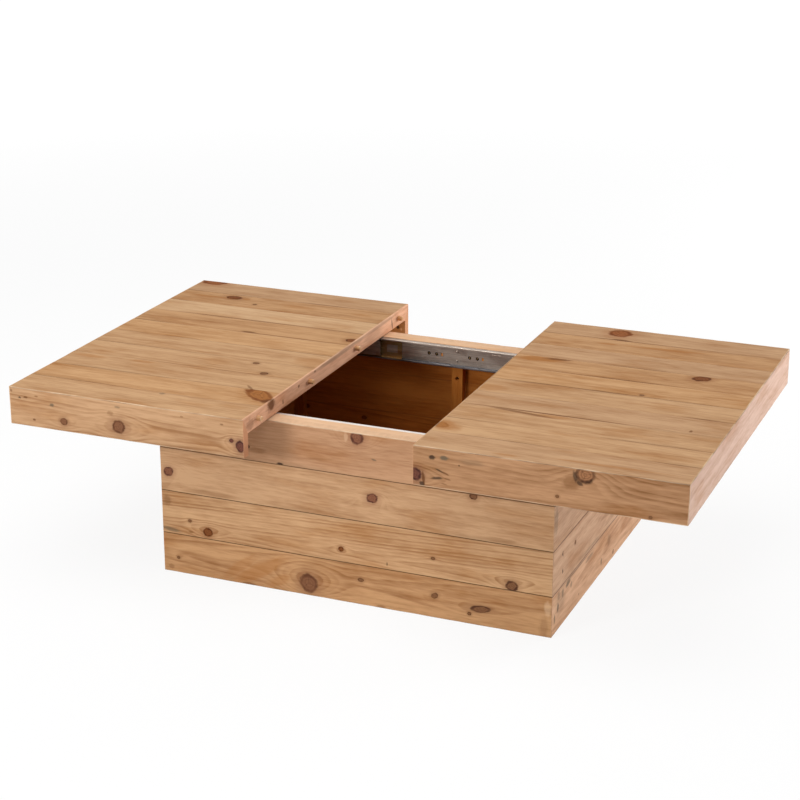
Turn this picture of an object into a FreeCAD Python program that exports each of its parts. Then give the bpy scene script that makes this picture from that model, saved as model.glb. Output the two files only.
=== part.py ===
import FreeCAD, Part
import os

V = FreeCAD.Vector

# Coffee table whose top is cut in two halves that slide apart over a storage box.
# Millimetres. X runs along the travel of the halves, Y across the boards, Z up.
# The origin is on the floor under the middle of the base, and the table is modelled open.

# Divided top
half_length = 500.0
top_width = 800.0
board_thickness = 32.0
boards_per_half = 10
apron_thickness = 18.0
apron_height = 76.0
arris_radius = 2.0
joint_chamfer = 0.7
open_gap = 334.0
closed_gap = 0.6

# Base box
base_inset = 100.0
plank_thickness = 20.0
lowest_course_height = 82.0
course_height = 89.0
course_count = 3
rail_height = 86.0
top_clearance = 2.0
slide_rail_thickness = 18.0
slide_rail_height = 48.0
post_width = 22.0
batten_width = 24.0
panel_thickness = 12.0
panel_lift = 12.0

# Ball-bearing slides
slide_height = 45.0
slide_depth = 12.7
slide_drop = 1.0
sheet = 1.2
bend_radius = 1.0
bend_limit = 0.9
lip_height = 2.0
channel_length = 700.0
runner_length = 330.0
runner_setback = 3.0
runner_flange = 8.7
cage_length = 220.0
cage_lead = 43.0
cage_sheet = 0.6
cage_gap = 0.8
cage_flange = 7.6
ball_diameter = 3.6
ball_pitch = 11.0
balls_per_cluster = 4
ball_inset = 9.0
ball_depth = 7.0
running_gap = 0.3
pocket_clearance = 0.15
window_length = 25.0
window_height = 17.0
window_inset = 10.0
windows_per_cage = 3
rib_width = 2.5
rib_rise = 0.4
rib_height = 11.0
rib_margin = 75.0
rib_end_margin = 40.0
stop_radius = 2.4
stop_rise = 2.2
stop_height = 10.0
slot_offsets = (-34.0, 57.0)
slot_width = 4.0
slot_height = 6.5

# Cleats that hang the runners under the boards
cleat_thickness = 20.0
cleat_setback = 60.0
cleat_clearance = 2.0

# Dowels that line the halves up when the top is closed
dowel_count = 4
dowel_spacing = 228.0
dowel_diameter = 10.0
dowel_length = 30.0
dowel_proud = 10.0
dowel_chamfer = 1.0
dowel_glue_gap = 0.1
socket_clearance = 0.4
socket_spare_depth = 1.5

# Flat-head wood screw, one size all over the table
screw_length = 16.0
screw_head_diameter = 7.0
screw_head_height = 1.6
screw_shank_diameter = 4.0
screw_point_length = 3.0
screw_recess_width = 1.0
screw_recess_length = 4.0
screw_recess_depth = 0.9
screw_fit = 0.1
counterbore_diameter = 8.4
channel_screw_offsets = (-63.0, -46.0, 28.0, 45.0)
channel_end_screw_inset = 25.0
runner_screw_count = 3
runner_screw_inset = 30.0
cleat_screw_setback = 8.0
cleat_screw_grip = 6.0
block_screw_depth = 8.0
block_screw_rise = 13.0

# Places that follow from the sizes above
inner_x = open_gap / 2
outer_x = inner_x + half_length
half_width = top_width / 2
board_width = top_width / boards_per_half
base_x = half_length - base_inset
base_y = half_width - base_inset
plank_x = base_x - plank_thickness
plank_y = base_y - plank_thickness
slide_y = plank_y - slide_rail_thickness
cleat_y = slide_y - slide_depth
courses_top = lowest_course_height + (course_count - 1) * course_height
rail_top = courses_top + rail_height
underside = rail_top + top_clearance
table_height = underside + board_thickness
apron_bottom = table_height - apron_height
slide_rail_bottom = rail_top - slide_rail_height
cleat_bottom = slide_rail_bottom + cleat_clearance
slide_z = rail_top - slide_drop - slide_height / 2
channel_depth = slide_depth - sheet
channel_half = slide_height / 2
raceway = channel_half - sheet
runner_half = raceway - ball_diameter - 2 * running_gap
ball_height = raceway - running_gap - ball_diameter / 2
cage_half = ball_height + cage_sheet / 2
cage_web = sheet + cage_gap
panel_top = panel_lift + panel_thickness
dowel_z = underside + board_thickness / 2
mirror_x = V(1, 0, 0)
mirror_y = V(0, 1, 0)


def box(x_range, y_range, z_range):
    size = [high - low for low, high in (x_range, y_range, z_range)]
    return Part.makeBox(*size, V(x_range[0], y_range[0], z_range[0]))


def prism(points, sweep):
    outline = [V(*point) for point in points]
    return Part.Face(Part.makePolygon(outline + outline[:1])).extrude(V(*sweep))


def mirrored(shape, normal):
    return shape.mirror(V(0, 0, 0), normal)


def both_sides(shape, normal):
    return [shape, mirrored(shape, normal)]


def spread(first, last, count):
    step = (last - first) / (count - 1)
    return [first + index * step for index in range(count)]


def turned(profile, place, axis):
    """Solid of revolution from (radius, height) points, stood at a place along an axis."""
    solid = Part.Face(Part.makePolygon([V(r, 0, h) for r, h in profile + profile[:1]]))
    solid = solid.revolve(V(0, 0, 0), V(0, 0, 1), 360)
    solid.Placement = FreeCAD.Placement(place, FreeCAD.Rotation(V(0, 0, 1), axis))
    return solid


def screw_profile(grow):
    """Half outline of the screw, its flat head at height 0 and its point below."""
    head = screw_head_diameter / 2 + grow
    shank = screw_shank_diameter / 2 + grow
    tip = -screw_length - grow
    neck = -screw_head_height - grow
    return [(0, 0), (head, 0), (shank, neck), (shank, tip + screw_point_length), (0, tip)]


def screw(place, axis):
    """Wood screw with a crossed recess. The axis points out of its head."""
    body = turned(screw_profile(0), V(0, 0, 0), V(0, 0, 1))
    long_side = screw_recess_length / 2
    short_side = screw_recess_width / 2
    recess = (-screw_recess_depth, screw_head_height)
    for x_reach, y_reach in ((long_side, short_side), (short_side, long_side)):
        body = body.cut(box((-x_reach, x_reach), (-y_reach, y_reach), recess))
    body.Placement = FreeCAD.Placement(place, FreeCAD.Rotation(V(0, 0, 1), axis))
    return body


def screw_hole(place, axis, counterbore_depth):
    """Cutter for a screw, with a wider bore that opens the way to its head."""
    hole = turned(screw_profile(screw_fit), place, axis)
    bore = Part.makeCylinder(counterbore_diameter / 2, counterbore_depth, place, axis)
    return hole.fuse(bore)


def drilled(shape, cutters):
    return shape.cut(Part.makeCompound(cutters)) if cutters else shape


# Places of the screws, worked out for the back of the right half and for the back of the base
runner_start = inner_x + runner_setback
runner_end = runner_start + runner_length
cleat_start = inner_x + cleat_setback
cleat_end = outer_x - apron_thickness
first_runner_screw = cleat_start + runner_screw_inset
last_runner_screw = runner_end - runner_screw_inset
runner_screw_reach = spread(first_runner_screw, last_runner_screw, runner_screw_count)
runner_screw_places = [V(x, cleat_y + sheet, slide_z) for x in runner_screw_reach]
cleat_screw_stagger = (runner_screw_reach[1] - runner_screw_reach[0]) / 2
cleat_screw_y = cleat_y - cleat_thickness + cleat_screw_setback
cleat_screw_z = underside - cleat_screw_grip
cleat_screw_places = [V(x + cleat_screw_stagger, cleat_screw_y, cleat_screw_z)
                      for x in runner_screw_reach]
channel_end_screw = channel_length / 2 - channel_end_screw_inset
channel_screw_reach = (-channel_end_screw,) + channel_screw_offsets + (channel_end_screw,)
channel_screw_places = [V(x, slide_y - sheet, slide_z) for x in channel_screw_reach]
block_screw_place = V(0, slide_y + block_screw_depth, courses_top + block_screw_rise)
outward = V(0, 1, 0)
inward = V(0, -1, 0)
downward = V(0, 0, -1)


def half_envelope():
    """Outer form of the right half, rounded on its outside edges and square where it is cut."""
    block = box((inner_x, outer_x), (-half_width, half_width), (apron_bottom, table_height))
    outside = [edge for edge in block.Edges if edge.BoundBox.XMax > inner_x + arris_radius]
    return block.makeFillet(arris_radius, outside)


def dowel_places():
    first = -dowel_spacing * (dowel_count - 1) / 2
    return [V(inner_x, first + index * dowel_spacing, dowel_z) for index in range(dowel_count)]


def dowel_holes(radius, depth):
    return [Part.makeCylinder(radius, depth, place, mirror_x) for place in dowel_places()]


def top_board(index, envelope, holes):
    """One board of the right half, mitred where it meets the aprons."""
    front = index * board_width - half_width
    back = front + board_width
    eased = table_height - joint_chamfer
    section = [(inner_x, front, underside), (inner_x, back, underside), (inner_x, back, eased),
               (inner_x, back - joint_chamfer, table_height),
               (inner_x, front + joint_chamfer, table_height), (inner_x, front, eased)]
    mitre_y = half_width - apron_thickness
    across = [(inner_x, -half_width, table_height), (inner_x, -mitre_y, underside),
              (inner_x, mitre_y, underside), (inner_x, half_width, table_height)]
    along = [(inner_x, -half_width, underside), (cleat_end, -half_width, underside),
             (outer_x, -half_width, table_height), (inner_x, -half_width, table_height)]
    board = prism(section, (half_length, 0, 0))
    board = board.common(prism(across, (half_length, 0, 0)))
    board = board.common(prism(along, (0, top_width, 0)))
    return drilled(board.common(envelope), holes)


def back_apron(envelope):
    """Apron along the back of the right half, mitred to the boards and to the end apron."""
    mitre_y = half_width - apron_thickness
    section = [(inner_x, half_width, apron_bottom), (inner_x, mitre_y, apron_bottom),
               (inner_x, mitre_y, underside), (inner_x, half_width, table_height)]
    plan = [(inner_x, half_width, apron_bottom), (inner_x, mitre_y, apron_bottom),
            (cleat_end, mitre_y, apron_bottom), (outer_x, half_width, apron_bottom)]
    apron = prism(section, (half_length, 0, 0)).common(prism(plan, (0, 0, apron_height)))
    return apron.common(envelope)


def end_apron(envelope):
    """Apron across the outer end of the right half."""
    mitre_y = half_width - apron_thickness
    section = [(cleat_end, -half_width, apron_bottom), (outer_x, -half_width, apron_bottom),
               (outer_x, -half_width, table_height), (cleat_end, -half_width, underside)]
    plan = [(outer_x, -half_width, apron_bottom), (outer_x, half_width, apron_bottom),
            (cleat_end, mitre_y, apron_bottom), (cleat_end, -mitre_y, apron_bottom)]
    apron = prism(section, (0, top_width, 0)).common(prism(plan, (0, 0, apron_height)))
    return apron.common(envelope)


def back_cleat():
    """Wooden cleat under the boards that carries the back runner of the right half."""
    cleat = box((cleat_start, cleat_end), (cleat_y - cleat_thickness, cleat_y), (cleat_bottom, underside))
    holes = [screw_hole(place, outward, sheet) for place in runner_screw_places]
    holes += [screw_hole(place, downward, cleat_screw_z - cleat_bottom) for place in cleat_screw_places]
    return drilled(cleat, holes)


def slide_prism(outline, start, length):
    """Bar with a section of (depth from the slide rail, height from the slide's middle) points."""
    points = [(start, slide_y - depth, slide_z + height) for depth, height in outline]
    return prism(points, (length, 0, 0))


def rounded_long_edges(shape, depth, height):
    """Round the two long edges at a depth from the slide rail and at plus and minus a height."""
    edges = [edge for edge in shape.Edges
             if edge.BoundBox.XLength > slide_height
             and abs(edge.CenterOfMass.y - slide_y + depth) < sheet / 2
             and abs(abs(edge.CenterOfMass.z - slide_z) - height) < sheet / 2]
    return shape.makeFillet(min(bend_radius, bend_limit * sheet), edges)


def back_runner():
    """Inner member of the right half's back slide, screwed to the cleat."""
    tip = slide_depth - runner_flange
    web = slide_depth - sheet
    inside = runner_half - sheet
    outline = [(slide_depth, -runner_half), (slide_depth, runner_half), (tip, runner_half), (tip, inside),
               (web, inside), (web, -inside), (tip, -inside), (tip, -runner_half)]
    runner = rounded_long_edges(slide_prism(outline, runner_start, runner_length), slide_depth, runner_half)
    return drilled(runner, [screw_hole(place, outward, sheet) for place in runner_screw_places])


def back_channel():
    """Outer member of the back slide: one channel that serves both halves."""
    start = -channel_length / 2
    shoulder = channel_depth - sheet
    lip = raceway - lip_height
    upper = [(sheet, raceway), (shoulder, raceway), (shoulder, lip), (channel_depth, lip),
             (channel_depth, channel_half), (0, channel_half)]
    lower = [(depth, -height) for depth, height in reversed(upper)]
    channel = slide_prism(lower + upper, start, channel_length)
    channel = rounded_long_edges(channel, channel_depth, channel_half)
    face = slide_y - sheet
    rib_end = channel_length / 2 - rib_end_margin
    raised = []
    for height in (-rib_height, rib_height):
        rib = box((rib_margin, rib_end), (face - rib_rise, face),
                  (slide_z + height - rib_width / 2, slide_z + height + rib_width / 2))
        raised += both_sides(rib, mirror_x)
    for height in (-stop_height, stop_height):
        stop = Part.makeCylinder(stop_radius, stop_rise, V(0, face, slide_z + height), inward)
        raised.append(stop.makeFillet(stop_rise / 2, [stop.Edges[0]]))
    channel = channel.multiFuse(raised).removeSplitter()
    holes = [screw_hole(place, inward, sheet) for place in channel_screw_places]
    for offset in slot_offsets:
        holes.append(box((offset - slot_width / 2, offset + slot_width / 2),
                         (face - sheet, slide_y + sheet),
                         (slide_z - slot_height / 2, slide_z + slot_height / 2)))
    return drilled(channel, holes)


def ball_places():
    """Middles of the balls in the right half's back cage: a cluster near each end, above and below."""
    start = inner_x - cage_lead
    first = [start + ball_inset + index * ball_pitch for index in range(balls_per_cluster)]
    last = [2 * start + cage_length - x for x in first]
    return [V(x, slide_y - ball_depth, slide_z + side * ball_height)
            for x in first + last for side in (-1, 1)]


def back_cage():
    """Ball cage of the right half's back slide, followed by its loose balls."""
    start = inner_x - cage_lead
    tip = cage_web + cage_flange
    inside = cage_half - cage_sheet
    face = cage_web + cage_sheet
    outline = [(cage_web, -cage_half), (tip, -cage_half), (tip, -inside), (face, -inside),
               (face, inside), (tip, inside), (tip, cage_half), (cage_web, cage_half)]
    cage = slide_prism(outline, start, cage_length)
    radius = ball_diameter / 2
    cutters = [Part.makeCylinder(radius + pocket_clearance, ball_diameter, place - V(0, 0, radius))
               for place in ball_places()]
    last_window = cage_length - window_inset - window_length
    for offset in spread(window_inset, last_window, windows_per_cage):
        cutters.append(box((start + offset, start + offset + window_length),
                           (slide_y - face - cage_sheet, slide_y - cage_web + cage_sheet),
                           (slide_z - window_height / 2, slide_z + window_height / 2)))
    return [drilled(cage, cutters)] + [Part.makeSphere(radius, place) for place in ball_places()]


def right_half_screws():
    back = [screw(place, outward) for place in runner_screw_places]
    back += [screw(place, downward) for place in cleat_screw_places]
    return back + [mirrored(solid, mirror_y) for solid in back]


def cleat_screw_holes():
    holes = [screw_hole(place, downward, cleat_screw_grip) for place in cleat_screw_places]
    return holes + [mirrored(hole, mirror_y) for hole in holes]


def base_envelope():
    """Outer form of the base, with its four upright corners rounded."""
    block = box((-base_x, base_x), (-base_y, base_y), (0, rail_top))
    upright = [edge for edge in block.Edges if edge.BoundBox.ZLength > arris_radius]
    return block.makeFillet(arris_radius, upright)


def course_heights(index):
    low = lowest_course_height + (index - 1) * course_height if index else 0
    high = lowest_course_height + index * course_height
    return low, high


def eased_section(place, low, high):
    """Section of a plank whose outer long edges are eased, for a place in (offset, height) terms."""
    return [place(0, low + joint_chamfer), place(joint_chamfer, low), place(plank_thickness, low),
            place(plank_thickness, high), place(joint_chamfer, high), place(0, high - joint_chamfer)]


def back_plank(index, envelope):
    """One course of the back wall, mitred at both corners."""
    low, high = course_heights(index)
    section = eased_section(lambda offset, z: (-base_x, base_y - offset, z), low, high)
    plan = [(-base_x, base_y, low), (base_x, base_y, low), (plank_x, plank_y, low), (-plank_x, plank_y, low)]
    plank = prism(section, (2 * base_x, 0, 0)).common(prism(plan, (0, 0, high - low)))
    return plank.common(envelope)


def right_plank(index, envelope):
    """One course of the right end wall, mitred at both corners."""
    low, high = course_heights(index)
    section = eased_section(lambda offset, z: (base_x - offset, -base_y, z), low, high)
    plan = [(base_x, -base_y, low), (base_x, base_y, low), (plank_x, plank_y, low), (plank_x, -plank_y, low)]
    plank = prism(section, (0, 2 * base_y, 0)).common(prism(plan, (0, 0, high - low)))
    return plank.common(envelope)


def back_rail(envelope):
    """Top course of the back wall, which stands up behind the slide."""
    section = eased_section(lambda offset, z: (-base_x, base_y - offset, z), courses_top, rail_top)
    rail = prism(section, (2 * base_x, 0, 0)).common(envelope)
    return drilled(rail, [screw_hole(block_screw_place, inward, screw_fit)])


def right_end_rail():
    """Low top course of the right end wall, between the front and back rails."""
    section = eased_section(lambda offset, z: (base_x - offset, -plank_y, z), courses_top, slide_rail_bottom)
    return prism(section, (0, 2 * plank_y, 0))


def back_slide_rail():
    """Batten inside the back rail that the slide channel is screwed to."""
    rail = box((-base_x, base_x), (slide_y, plank_y), (slide_rail_bottom, rail_top))
    return drilled(rail, [screw_hole(place, inward, sheet) for place in channel_screw_places])


def back_batten():
    """Upright in the middle of the back wall: a long lower piece and a short screwed block above it."""
    sides = (-batten_width / 2, batten_width / 2)
    depth = (slide_y, plank_y)
    lower = box(sides, depth, (panel_top, courses_top))
    block = box(sides, depth, (courses_top, slide_rail_bottom))
    return [lower, drilled(block, [screw_hole(block_screw_place, inward, block_screw_depth)])]


def corner_posts():
    post = box((plank_x - post_width, plank_x), (slide_y, plank_y), (panel_top, courses_top))
    back = both_sides(post, mirror_x)
    return back + [mirrored(solid, mirror_y) for solid in back]


def bottom_panel():
    return box((-plank_x, plank_x), (-plank_y, plank_y), (panel_lift, panel_top))


def dowels():
    """Dowels glued into the left half, standing proud of its cut edge."""
    radius = dowel_diameter / 2
    end = dowel_length - dowel_proud
    profile = [(0, -end), (radius - dowel_chamfer, -end), (radius, dowel_chamfer - end),
               (radius, dowel_proud - dowel_chamfer), (radius - dowel_chamfer, dowel_proud), (0, dowel_proud)]
    return [mirrored(turned(profile, place, V(-1, 0, 0)), mirror_x) for place in dowel_places()]


def base_screws():
    back = [screw(place, inward) for place in channel_screw_places + [block_screw_place]]
    return back + [mirrored(solid, mirror_y) for solid in back]


def save(node, solids):
    shape = solids[0] if len(solids) == 1 else Part.makeCompound(solids)
    shape.exportStep(f"parts/{node}.step")


def save_front_and_back(name, solids):
    save(f"back_{name}", solids)
    save(f"front_{name}", [mirrored(solid, mirror_y) for solid in solids])


def save_left_and_right(name, solids):
    save(f"right_{name}", solids)
    save(f"left_{name}", [mirrored(solid, mirror_x) for solid in solids])


def save_top():
    envelope = half_envelope()
    glue_holes = dowel_holes(dowel_diameter / 2 + dowel_glue_gap, dowel_length - dowel_proud + dowel_glue_gap)
    sockets = dowel_holes(dowel_diameter / 2 + socket_clearance, dowel_proud + socket_spare_depth)
    screw_holes = cleat_screw_holes()
    for index in range(boards_per_half):
        save(f"right_board_{index + 1}", [top_board(index, envelope, sockets + screw_holes)])
        left = top_board(index, envelope, glue_holes + screw_holes)
        save(f"left_board_{index + 1}", [mirrored(left, mirror_x)])
    apron = back_apron(envelope)
    save_left_and_right("back_apron", [apron])
    save_left_and_right("front_apron", [mirrored(apron, mirror_y)])
    save_left_and_right("end_apron", [end_apron(envelope)])
    save_left_and_right("cleats", both_sides(back_cleat(), mirror_y))
    save_left_and_right("runners", both_sides(back_runner(), mirror_y))
    cage = back_cage()
    save_left_and_right("ball_cages", cage + [mirrored(solid, mirror_y) for solid in cage])
    save_left_and_right("screws", right_half_screws())
    save("alignment_dowels", dowels())


def save_base():
    envelope = base_envelope()
    for index in range(course_count):
        save_front_and_back(f"plank_{index + 1}", [back_plank(index, envelope)])
        save_left_and_right(f"plank_{index + 1}", [right_plank(index, envelope)])
    save_front_and_back("rail", [back_rail(envelope)])
    save_left_and_right("end_rail", [right_end_rail()])
    save_front_and_back("slide_rail", [back_slide_rail()])
    save_front_and_back("channel", [back_channel()])
    batten = back_batten()
    save("centre_battens", batten + [mirrored(solid, mirror_y) for solid in batten])
    save("corner_posts", corner_posts())
    save("bottom_panel", [bottom_panel()])
    save("base_screws", base_screws())


os.makedirs("parts", exist_ok=True)
save_top()
save_base()
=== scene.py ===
"""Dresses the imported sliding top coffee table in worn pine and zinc, in its own studio."""

import logging
import math
import random
from dataclasses import dataclass, field
from enum import Enum
from functools import reduce
from typing import Any, Callable, ClassVar, Iterable

import bmesh
import bpy
from bmesh.types import BMEdge, BMesh, BMFace, BMVert
from bpy.types import ID, Material, Node, NodeSocket, NodeTree, Object
from mathutils import Euler, Matrix, Vector, noise


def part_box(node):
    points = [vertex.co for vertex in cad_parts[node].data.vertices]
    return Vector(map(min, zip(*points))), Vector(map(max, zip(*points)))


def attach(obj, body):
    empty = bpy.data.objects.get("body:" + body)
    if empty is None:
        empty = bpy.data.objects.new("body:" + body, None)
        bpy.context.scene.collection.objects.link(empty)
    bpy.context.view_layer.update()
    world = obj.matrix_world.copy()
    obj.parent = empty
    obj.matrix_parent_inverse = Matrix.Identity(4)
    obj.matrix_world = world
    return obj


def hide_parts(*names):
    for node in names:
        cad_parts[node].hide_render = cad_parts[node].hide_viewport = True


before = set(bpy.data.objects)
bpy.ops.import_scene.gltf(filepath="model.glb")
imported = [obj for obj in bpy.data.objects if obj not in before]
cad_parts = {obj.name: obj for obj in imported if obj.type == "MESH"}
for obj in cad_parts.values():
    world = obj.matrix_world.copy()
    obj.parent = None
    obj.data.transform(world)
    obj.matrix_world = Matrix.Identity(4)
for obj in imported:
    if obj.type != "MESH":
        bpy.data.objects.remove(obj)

log = logging.getLogger("coffee_table")

Colour = tuple[float, float, float, float]
Triple = tuple[float, float, float]

MM = 0.001
# Distances under which two places, faces or points count as one.
SAME_PLACE = 0.01 * MM
SAME_FACE = 0.05 * MM
WELD = 1e-6
FINE_WELD = 1e-7

SHARP_ANGLE = math.radians(28.0)
WHITE: Colour = (1.0, 1.0, 1.0, 1.0)
AXES = (Vector((1.0, 0.0, 0.0)), Vector((0.0, 1.0, 0.0)), Vector((0.0, 0.0, 1.0)))


def srgb(*channels: int) -> Colour:
    """Turns a colour as a screen shows it into the linear colour that shaders use.

    Args:
        channels: Red, green and blue, 0 to 255.

    Returns:
        The linear colour with an alpha of 1.
    """
    shares = [channel / 255 for channel in channels]
    red, green, blue = (share / 12.92 if share <= 0.04045 else ((share + 0.055) / 1.055) ** 2.4
                        for share in shares)
    return red, green, blue, 1.0


@dataclass(frozen=True)
class Block:
    """A box in the table's frame, in metres."""

    low: Vector
    high: Vector

    @classmethod
    def of(cls, *nodes: str) -> "Block":
        """The smallest box that holds the named CAD nodes.

        Args:
            nodes: Names of the nodes.

        Returns:
            The box.
        """
        corners = [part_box(node) for node in nodes]
        low = Vector([min(corner[0][axis] for corner in corners) for axis in range(3)])
        high = Vector([max(corner[1][axis] for corner in corners) for axis in range(3)])
        return cls(low, high)

    @property
    def centre(self) -> Vector:
        """Middle of the box."""
        return (self.low + self.high) / 2

    @property
    def size(self) -> Vector:
        """Lengths of the box's sides."""
        return self.high - self.low

    def edge_distance(self, point: Vector) -> float:
        """Distance from a point inside to the nearest edge line, the second smallest gap to a face."""
        gaps = [min(point[axis] - self.low[axis], self.high[axis] - point[axis]) for axis in range(3)]
        return sorted(gaps)[1]


class Lie(Enum):
    """How a plank lies: Euler angles that take its grain, breadth and face to the table's axes."""

    TOP = (0.0, 0.0, 0.0)
    FRONT = (math.pi / 2, 0.0, 0.0)
    END = (math.pi / 2, 0.0, math.pi / 2)
    UPRIGHT = (0.0, -math.pi / 2, 0.0)

    def local(self, point: Vector) -> Vector:
        """The same vector in grain, breadth and face terms."""
        return Euler(self.value).to_matrix().transposed() @ point


@dataclass(frozen=True)
class Spot:
    """A place on a plank's face, in millimetres in the table's frame, turned by some degrees."""

    along: float
    across: float
    length: float
    width: float
    turn: float


@dataclass(frozen=True)
class KnotLook:
    """Colours of a knot and how strongly the grain bends round it."""

    heart: Colour
    rim: Colour
    halo: float
    push: float


@dataclass(frozen=True)
class Knot(Spot):
    """A knot in the timber."""

    look: KnotLook


class KnotKind(Enum):
    """Kinds of knot in the timber."""

    RED = KnotLook(srgb(138, 90, 66), srgb(84, 52, 42), 0.36, 1.0)
    CINNAMON = KnotLook(srgb(150, 92, 54), srgb(112, 62, 32), 0.34, 0.8)
    DARK = KnotLook(srgb(134, 93, 64), srgb(80, 52, 38), 0.40, 0.9)
    SOFT = KnotLook(srgb(132, 90, 64), srgb(94, 60, 42), 0.46, 0.9)
    RINGED = KnotLook(srgb(164, 114, 78), srgb(70, 48, 36), 0.12, 1.0)
    SPIKE = KnotLook(srgb(164, 108, 60), srgb(120, 70, 38), 0.30, 0.5)
    PIN = KnotLook(srgb(132, 92, 62), srgb(94, 62, 42), 0.40, 0.5)
    UMBER = KnotLook(srgb(130, 78, 44), srgb(82, 44, 22), 0.40, 0.8)
    PLUM = KnotLook(srgb(114, 70, 56), srgb(68, 42, 38), 0.40, 1.0)

    def at(self, along: float, across: float, length: float, width: float, turn: float = 0.0) -> Knot:
        """A knot of this kind. See Spot for the numbers."""
        return Knot(along, across, length, width, turn, self.value)


@dataclass(frozen=True)
class Mark(Spot):
    """A stain, dent or nail hole. A depth in millimetres sinks it in the mesh."""

    stain: "Stain"
    strength: float
    depth: float


class Stain(Enum):
    """Colours of the marks left on the timber, in the order in which they lie on each other."""

    AMBER = srgb(162, 108, 60)
    SMOKE = srgb(130, 90, 58)
    MOULD = srgb(98, 88, 72)
    BARK = srgb(98, 60, 36)
    INK = srgb(44, 36, 32)
    CHALK = srgb(232, 200, 164)

    def at(self, along: float, across: float, length: float, width: float, strength: float,
           turn: float = 0.0, depth: float = 0.0) -> Mark:
        """A mark of this colour. See Spot and Mark for the numbers."""
        return Mark(along, across, length, width, turn, self, strength, depth)


class Tone(Enum):
    """Early and late wood colours of a plank."""

    PALE = (srgb(204, 167, 128), srgb(171, 128, 90))
    HONEY = (srgb(198, 155, 112), srgb(155, 109, 68))
    SAND = (srgb(196, 156, 116), srgb(157, 115, 79))
    TAN = (srgb(191, 148, 106), srgb(148, 104, 68))
    RUSSET = (srgb(180, 137, 101), srgb(132, 92, 60))
    # The next three tones are lifted and paled beyond the wood's own colour: a painted sheen on the faces
    # that look right, and on the lowest right plank also painted bounce light from the floor.
    ROSE_SHEEN = (srgb(206, 169, 139), srgb(166, 127, 98))
    BOUNCE_SHEEN = (srgb(219, 178, 145), srgb(178, 135, 103))
    PALE_SHEEN = (srgb(218, 185, 166), srgb(186, 146, 124))
    OAT = (srgb(191, 152, 115), srgb(152, 111, 77))
    BLUSH = (srgb(186, 144, 110), srgb(151, 108, 77))
    STRIP = (srgb(222, 172, 139), srgb(176, 123, 92))
    RAW = (srgb(226, 187, 152), srgb(208, 160, 118))
    BEECH = (srgb(214, 168, 122), srgb(186, 134, 90))
    # Near-black brown for the cleats: painted shade, as they lie in the shadow under the halves.
    CLEAT_SHADE = (srgb(140, 88, 48), srgb(100, 58, 26))


@dataclass(frozen=True)
class CutLook:
    """Where the heart of the tree lies from a plank's middle, and how its rings run."""

    aside: float
    behind: float
    taper: float
    spacing: float
    contrast: float


class Cut(Enum):
    """How a plank was sawn out of the log. Sizes in millimetres, taper as a slope."""

    FLAT = CutLook(4.0, 34.0, 0.034, 7.0, 0.52)
    RIFT = CutLook(90.0, 110.0, 0.012, 4.6, 0.20)
    QUARTER = CutLook(170.0, 30.0, 0.010, 5.4, 0.24)


@dataclass(frozen=True)
class SawnLook:
    """A face as a direction in grain, breadth and face terms, and the colour of its bare wood."""

    direction: Triple
    bare: Colour


class Sawn(Enum):
    """Faces of a plank that were left raw from the saw."""

    START = SawnLook((-1.0, 0.0, 0.0), srgb(206, 150, 114))
    FINISH = SawnLook((1.0, 0.0, 0.0), srgb(206, 150, 114))
    UPPER = SawnLook((0.0, 1.0, 0.0), srgb(222, 182, 147))


@dataclass(frozen=True)
class Arches:
    """Pointed arches where a plank runs close to the tree's heart, in millimetres in the table's frame."""

    tip: float
    line: float
    opens: float = 1.0
    depth: float = 6.0
    taper: float = 0.036
    spacing: float = 6.5
    contrast: float = 0.52


@dataclass(frozen=True)
class Log:
    """The tree that a plank came from, in the plank's own terms and in metres."""

    heart: Vector
    start: float
    taper: float
    spacing: float
    contrast: float
    wander: float

    ASIDE_SPREAD: ClassVar[tuple[float, float]] = (0.6, 1.4)
    BEHIND_SPREAD: ClassVar[tuple[float, float]] = (0.8, 1.3)
    TAPER_SPREAD: ClassVar[tuple[float, float]] = (0.7, 1.3)
    SPACING_SPREAD: ClassVar[tuple[float, float]] = (0.8, 1.25)
    WANDER: ClassVar[float] = 22 * MM
    ARCH_WANDER: ClassVar[float] = 9 * MM

    @classmethod
    def drawn(cls, cut: CutLook, lot: random.Random) -> "Log":
        """A tree that could have given a plank of one cut, drawn from a source of chance.

        Args:
            cut: How the plank was sawn.
            lot: The source of chance.

        Returns:
            The tree.
        """
        aside = cut.aside * lot.choice((-1, 1)) * lot.uniform(*cls.ASIDE_SPREAD) * MM
        behind = cut.behind * lot.uniform(*cls.BEHIND_SPREAD) * MM
        taper = cut.taper * lot.choice((-1, 1)) * lot.uniform(*cls.TAPER_SPREAD)
        spacing = cut.spacing * lot.uniform(*cls.SPACING_SPREAD) * MM
        return cls(Vector((0.0, aside, -behind)), 0.0, taper, spacing, cut.contrast, cls.WANDER)

    @classmethod
    def arched(cls, arches: Arches, middle: Vector, half_thickness: float) -> "Log":
        """The tree of a plank whose arches are known.

        Args:
            arches: The arches on the plank's outer face.
            middle: The plank's middle in grain, breadth and face terms.
            half_thickness: From the plank's middle to its face.

        Returns:
            The tree.
        """
        depth = arches.depth * MM
        heart = Vector((arches.tip * MM - middle.x, arches.line * MM - middle.y, half_thickness - depth))
        taper = arches.taper * arches.opens
        return cls(heart, depth, taper, arches.spacing * MM, arches.contrast, cls.ARCH_WANDER)


@dataclass(frozen=True)
class Timber:
    """What is particular to one plank."""

    tone: Tone
    cut: Cut
    knots: tuple[Knot, ...] = ()
    marks: tuple[Mark, ...] = ()
    sawn: tuple[Sawn, ...] = ()
    arches: Arches | None = None


Outputs = dict[str | int, "Signal"]


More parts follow.
